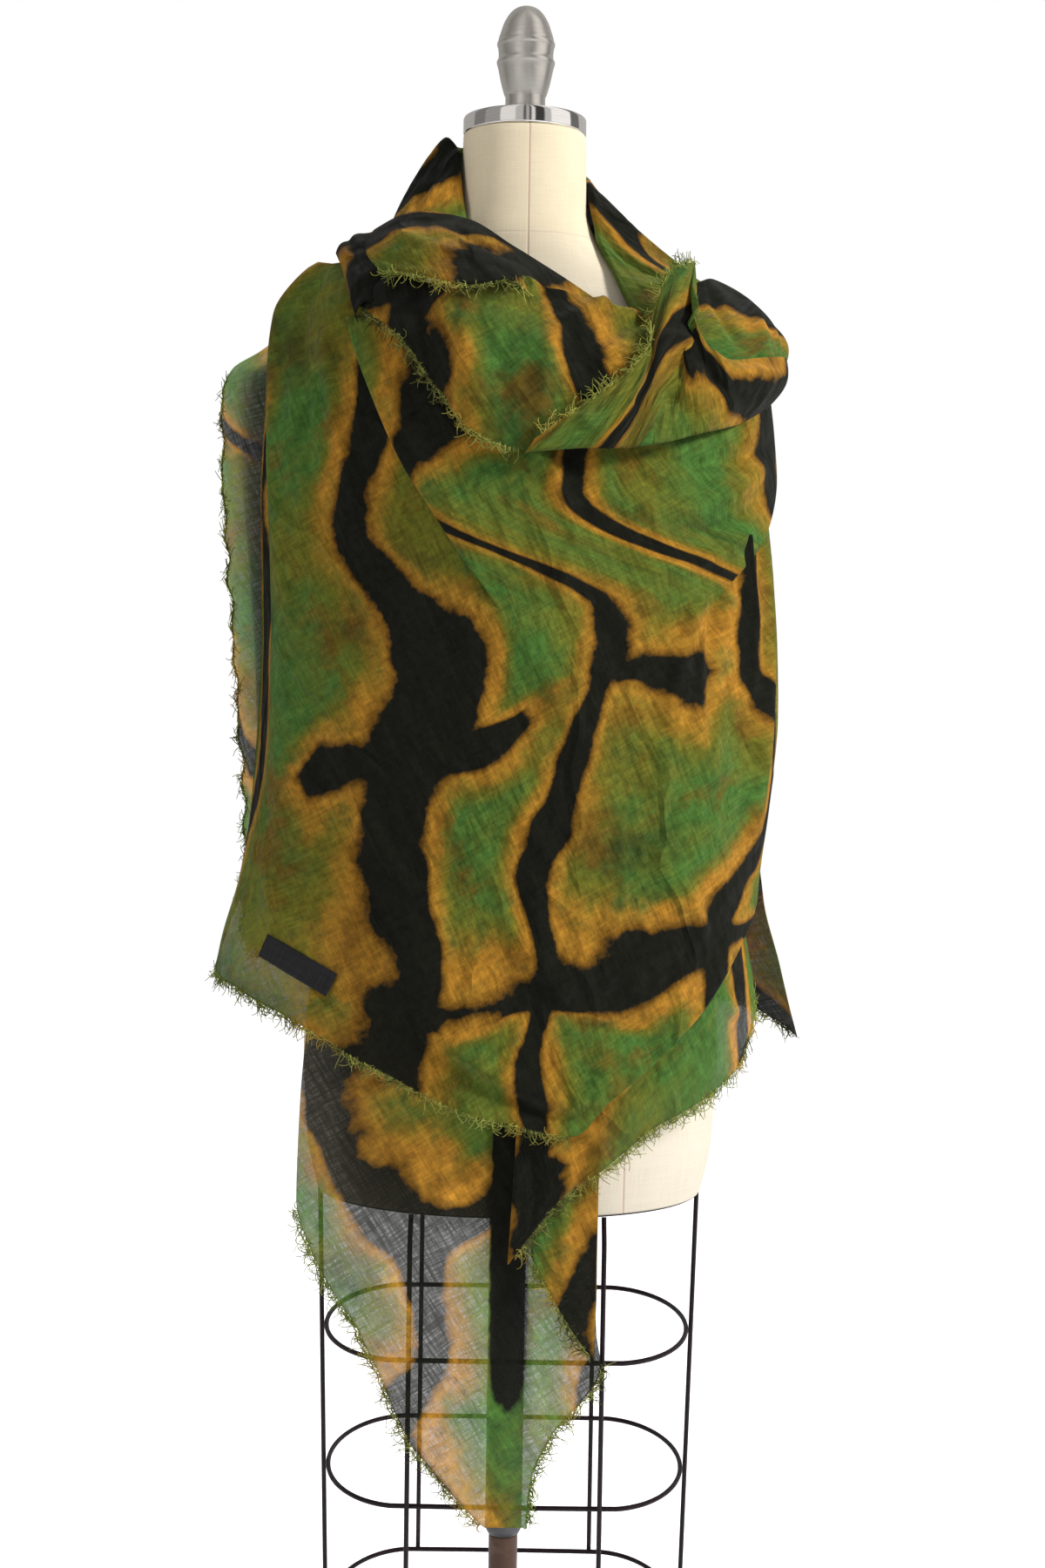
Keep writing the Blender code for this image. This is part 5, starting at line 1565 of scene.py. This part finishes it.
def add_cage():
    """Six upright wires and three rings, straight at front and back with round ends."""
    form = bpy.context.scene.dress_form
    paint = painted_metal("satin_wire_paint", tuple(form.wire), 0.50)
    top = TORSO_LOW - SEAM_GAP
    for where, side, depth in (
        ("left", -1, 0), ("right", 1, 0), ("front_left", -1, -1),
        ("front_right", 1, -1), ("back_left", -1, 1), ("back_right", 1, 1),
    ):
        spots = []
        for share in (0.0, 0.008, 0.018, 0.030, 0.045, WIRE_BEND_SHARE, 0.3, 0.6, 1.0):
            reach = between(WIRE_SIDE_TOP, WIRE_SIDE_LOW, share)
            deep = between(WIRE_DEPTH_TOP, WIRE_DEPTH_LOW, share)
            # The front and back wires bend in at the top, to meet the torso's rim.
            bend = WIRE_TOP_BEND * smooth_step(1.0 - share / WIRE_BEND_SHARE)
            x = side * (WIRE_HALF_SPACING if depth else reach)
            spots.append((x, depth * (deep - bend), between(top, CAGE_LOW, share)))
        add_wire("cage_wire_" + where, spots, False, "wire_" + where, paint)
    for number, z in enumerate(RING_HEIGHTS, 1):
        share = (TORSO_LOW - z) / (TORSO_LOW - CAGE_LOW)
        side = between(WIRE_SIDE_TOP, WIRE_SIDE_LOW, share) - RING_INSET
        depth = between(WIRE_DEPTH_TOP, WIRE_DEPTH_LOW, share) - RING_INSET
        angle = np.radians(np.linspace(0, 360, 144, endpoint=False))
        straight = (side - RING_END_LENGTH) * np.clip(8 * np.sin(angle), -1, 1)
        x = RING_END_LENGTH * np.sin(angle) + straight
        spots = spot(x, -depth * np.cos(angle), z).tolist()
        add_wire(f"cage_ring_{number}", spots, True, f"ring_{number}", paint)


def add_stage():
    """A pale flat floor, three soft lights, a light tent and the camera."""
    stage = bpy.context.scene.studio
    reach = FLOOR_REACH
    corners = [(-reach, -reach, 0), (reach, -reach, 0), (reach, reach, 0), (-reach, reach, 0)]
    mesh = new_mesh("studio_floor", corners, [(0, 1, 2, 3)])
    floor = bpy.data.objects.new("studio_floor", mesh)
    bpy.context.scene.collection.objects.link(floor)
    material, desk, shader = new_material("studio_floor", tuple(stage.floor), 0.9, specular=0.1)
    # The floor glows a little for the camera alone, so that it stays white and lights nothing.
    shader.inputs["Emission Strength"].default_value = FLOOR_GLOW
    desk.join(desk.add("LightPath").outputs["Is Camera Ray"], shader.inputs["Emission Color"])
    mesh.materials.append(material)
    for name, (place, aim, size, power) in LIGHTS.items():
        light = bpy.data.lights.new(name, "AREA")
        light.shape, light.size, light.energy = "DISK", size, getattr(stage, power)
        obj = bpy.data.objects.new(name, light)
        bpy.context.scene.collection.objects.link(obj)
        obj.location = place
        obj.visible_glossy = False
        obj.rotation_euler = (Vector(place) - Vector(aim)).to_track_quat("Z", "Y").to_euler()
    add_world()
    add_camera()


def add_world():
    """White to the camera, and a light tent with a few darker strips for the metal to mirror."""
    bright = bpy.context.scene.studio.tent_strength
    world = bpy.data.worlds.new("studio_world")
    bpy.context.scene.world = world
    world.use_nodes = True
    desk = Desk(world.node_tree)
    way = desk.split(desk.add("TexCoord").outputs["Generated"])
    angle = desk.math("ARCTAN2", way["X"], desk.math("MULTIPLY", way["Y"], -1.0))
    stops, low = [], 0.0
    for high, tone in TENT_STRIPS:
        warm = (tone, 0.97 * tone, 0.95 * tone)
        stops += [(low + STRIP_EDGE, warm), (high, warm)]
        low = high
    strips = desk.ramp(desk.remap(angle, -math.pi, math.pi), stops)
    tent = desk.remap(way["Z"], -1.0, 1.0, 0.70 * bright, 1.10 * bright)
    paths = desk.add("LightPath").outputs
    colour = desk.mix(paths["Is Glossy Ray"], tent, strips)
    colour = desk.mix(paths["Is Camera Ray"], colour, WHITE)
    background = world.node_tree.nodes["Background"]
    desk.join(colour, background.inputs["Color"])
    background.inputs["Strength"].default_value = 1.0


def add_camera():
    """The camera fitted to the photo: where it stands, how it tilts and its slight roll."""
    camera = bpy.data.cameras.new("photo_camera")
    camera.sensor_fit = "VERTICAL"
    camera.sensor_height = SENSOR_HEIGHT
    camera.lens = bpy.context.scene.studio.lens
    obj = bpy.data.objects.new("photo_camera", camera)
    bpy.context.scene.collection.objects.link(obj)
    tilt = Matrix.Rotation(math.radians(CAMERA_TILT), 4, "X")
    roll = Matrix.Rotation(math.radians(CAMERA_ROLL), 4, "Z")
    obj.matrix_world = Matrix.Translation(CAMERA_PLACE) @ tilt @ roll
    bpy.context.scene.camera = obj
    bpy.context.scene.view_settings.view_transform = "Standard"


def colour_setting(name, description, default):
    """A colour that a user would change."""
    return FloatVectorProperty(
        name=name, description=description, default=default, size=3, subtype="COLOR", min=0.0,
        max=1.0,
    )


def length_setting(name, description, default, low, high):
    """A length that a user would change."""
    return FloatProperty(
        name=name, description=description, default=default, min=low, max=high, precision=5,
        unit="LENGTH",
    )


def power_setting(name, description, default):
    """The power of a light."""
    return FloatProperty(
        name=name, description=description, default=default, min=0.0, unit="POWER"
    )


class ShawlSettings(bpy.types.PropertyGroup):
    """The cloth, its dye and its frayed threads"""

    cloth_thickness: length_setting(
        "Cloth thickness", "Thickness of the gauze", 0.0008, 0.0004, 0.003
    )
    green: colour_setting("Green", "The dyed field", (0.049, 0.116, 0.021))
    olive: colour_setting("Olive", "Between the field and the halos", (0.106, 0.105, 0.012))
    ochre: colour_setting("Ochre", "The halos round the dark cores", (0.310, 0.145, 0.016))
    black: colour_setting("Black", "The dark cores", (0.0072, 0.0074, 0.0048))
    band_spacing: length_setting("Band spacing", "Between two resist bands", 0.19, 0.05, 1.0)
    core_width: length_setting("Core width", "Width of a band's dark core", 0.032, 0.0, 0.1)
    halo_width: length_setting("Halo width", "Width of the ochre beside a core", 0.018, 0.0, 0.1)
    thread_spacing: length_setting(
        "Thread spacing", "Between the threads of a frayed edge", 0.00085, 0.0005, 0.01
    )
    thread_length: length_setting(
        "Thread length", "Length of the frayed threads", 0.0125, 0.001, 0.03
    )
    thread_radius: length_setting("Thread radius", "Radius of one thread", 0.00048, 0.0001, 0.001)


class FormSettings(bpy.types.PropertyGroup):
    """The form and its stand"""

    linen: colour_setting("Linen", "The form's cover", (0.69, 0.625, 0.51))
    seam: colour_setting("Seam", "The sewn seams of the cover", (0.50, 0.31, 0.25))
    cap: colour_setting("Cap", "The bright neck cap", (0.92, 0.90, 0.87))
    finial: colour_setting("Finial", "The brushed finial", (0.78, 0.75, 0.69))
    wire: colour_setting("Wire", "The cage", (0.0075, 0.0025, 0.0050))
    sleeve: colour_setting("Sleeve", "The pole's outer sleeve", (0.085, 0.085, 0.090))
    pole: colour_setting("Pole", "The pole", (0.070, 0.036, 0.022))
    base: colour_setting("Base", "The round base", (0.028, 0.027, 0.028))
    wire_radius: length_setting("Wire radius", "Radius of the cage's wires", 0.002, 0.0005, 0.01)


class StudioSettings(bpy.types.PropertyGroup):
    """The floor, the lights and the lens"""

    floor: colour_setting("Floor", "The pale floor", (0.90, 0.90, 0.90))
    key_power: power_setting("Key light", "Power of the main soft light", 135.0)
    fill_power: power_setting("Fill light", "Power of the light on the left", 22.0)
    top_power: power_setting("Top light", "Power of the light from above", 30.0)
    tent_strength: FloatProperty(
        name="Tent", description="Strength of the white surroundings", default=0.42, min=0.0,
        max=4.0,
    )
    lens: FloatProperty(
        name="Lens", description="Focal length in millimetres", default=49.6, min=20.0, max=200.0
    )


class SHAWL_OT_dress_form(bpy.types.Operator):
    """Builds the linen torso, its cap and its finial"""

    bl_idname = "shawl.dress_form"
    bl_label = "Dress form"

    def execute(self, context):
        add_torso()
        add_cap_and_finial()
        return {"FINISHED"}


class SHAWL_OT_stand(bpy.types.Operator):
    """Builds the wire cage, the pole with its sleeve and the round base"""

    bl_idname = "shawl.stand"
    bl_label = "Cage, pole and base"

    def execute(self, context):
        add_cage()
        add_pole_and_base()
        return {"FINISHED"}


class SHAWL_OT_hanging_cloth(bpy.types.Operator):
    """Drapes the front panel, the back and the layer across the chest"""

    bl_idname = "shawl.hanging_cloth"
    bl_label = "Hanging cloth"

    def execute(self, context):
        for name, spec in HANGING.items():
            add_stretch(name, spec)
        return {"FINISHED"}


class SHAWL_OT_neck_cloth(bpy.types.Operator):
    """Winds the collar, the cowl and the rolls round the neck and shoulders"""

    bl_idname = "shawl.neck_cloth"
    bl_label = "Collar, cowl and rolls"

    def execute(self, context):
        for name, spec in NECK.items():
            add_stretch(name, spec)
        return {"FINISHED"}


class SHAWL_OT_low_cloth(bpy.types.Operator):
    """Hangs the tail and the layers folded back under the hem"""

    bl_idname = "shawl.low_cloth"
    bl_label = "Tail and under layers"

    def execute(self, context):
        for name, spec in LOW.items():
            add_stretch(name, spec)
        return {"FINISHED"}


class SHAWL_OT_label(bpy.types.Operator):
    """Lays the bare woven label on the front panel"""

    bl_idname = "shawl.label"
    bl_label = "Label"

    def execute(self, context):
        add_label()
        return {"FINISHED"}


class SHAWL_OT_studio(bpy.types.Operator):
    """Sets the floor, the lights and the camera"""

    bl_idname = "shawl.studio"
    bl_label = "Studio"

    def execute(self, context):
        add_stage()
        return {"FINISHED"}


OPERATORS = (
    SHAWL_OT_dress_form,
    SHAWL_OT_stand,
    SHAWL_OT_hanging_cloth,
    SHAWL_OT_neck_cloth,
    SHAWL_OT_low_cloth,
    SHAWL_OT_label,
    SHAWL_OT_studio,
)


class SHAWL_PT_sidebar(bpy.types.Panel):
    """Lists the shawl's steps in the order they are made"""

    bl_label = "Shawl on a dress form"
    bl_space_type = "VIEW_3D"
    bl_region_type = "UI"
    bl_category = "Shawl"

    def draw(self, context):
        for operator in OPERATORS:
            self.layout.operator(operator.bl_idname)
        for settings in (context.scene.shawl, context.scene.dress_form, context.scene.studio):
            box = self.layout.box()
            for name in settings.__annotations__:
                box.prop(settings, name)


CLASSES = (ShawlSettings, FormSettings, StudioSettings, *OPERATORS, SHAWL_PT_sidebar)


def register():
    for cls in CLASSES:
        bpy.utils.register_class(cls)
    bpy.types.Scene.shawl = PointerProperty(type=ShawlSettings)
    bpy.types.Scene.dress_form = PointerProperty(type=FormSettings)
    bpy.types.Scene.studio = PointerProperty(type=StudioSettings)


def unregister():
    del bpy.types.Scene.shawl, bpy.types.Scene.dress_form, bpy.types.Scene.studio
    for cls in reversed(CLASSES):
        bpy.utils.unregister_class(cls)


def main():
    register()
    bpy.ops.shawl.dress_form()
    bpy.ops.shawl.stand()
    bpy.ops.shawl.hanging_cloth()
    bpy.ops.shawl.neck_cloth()
    bpy.ops.shawl.low_cloth()
    bpy.ops.shawl.label()
    bpy.ops.shawl.studio()


if __name__ == "__main__":
    main()
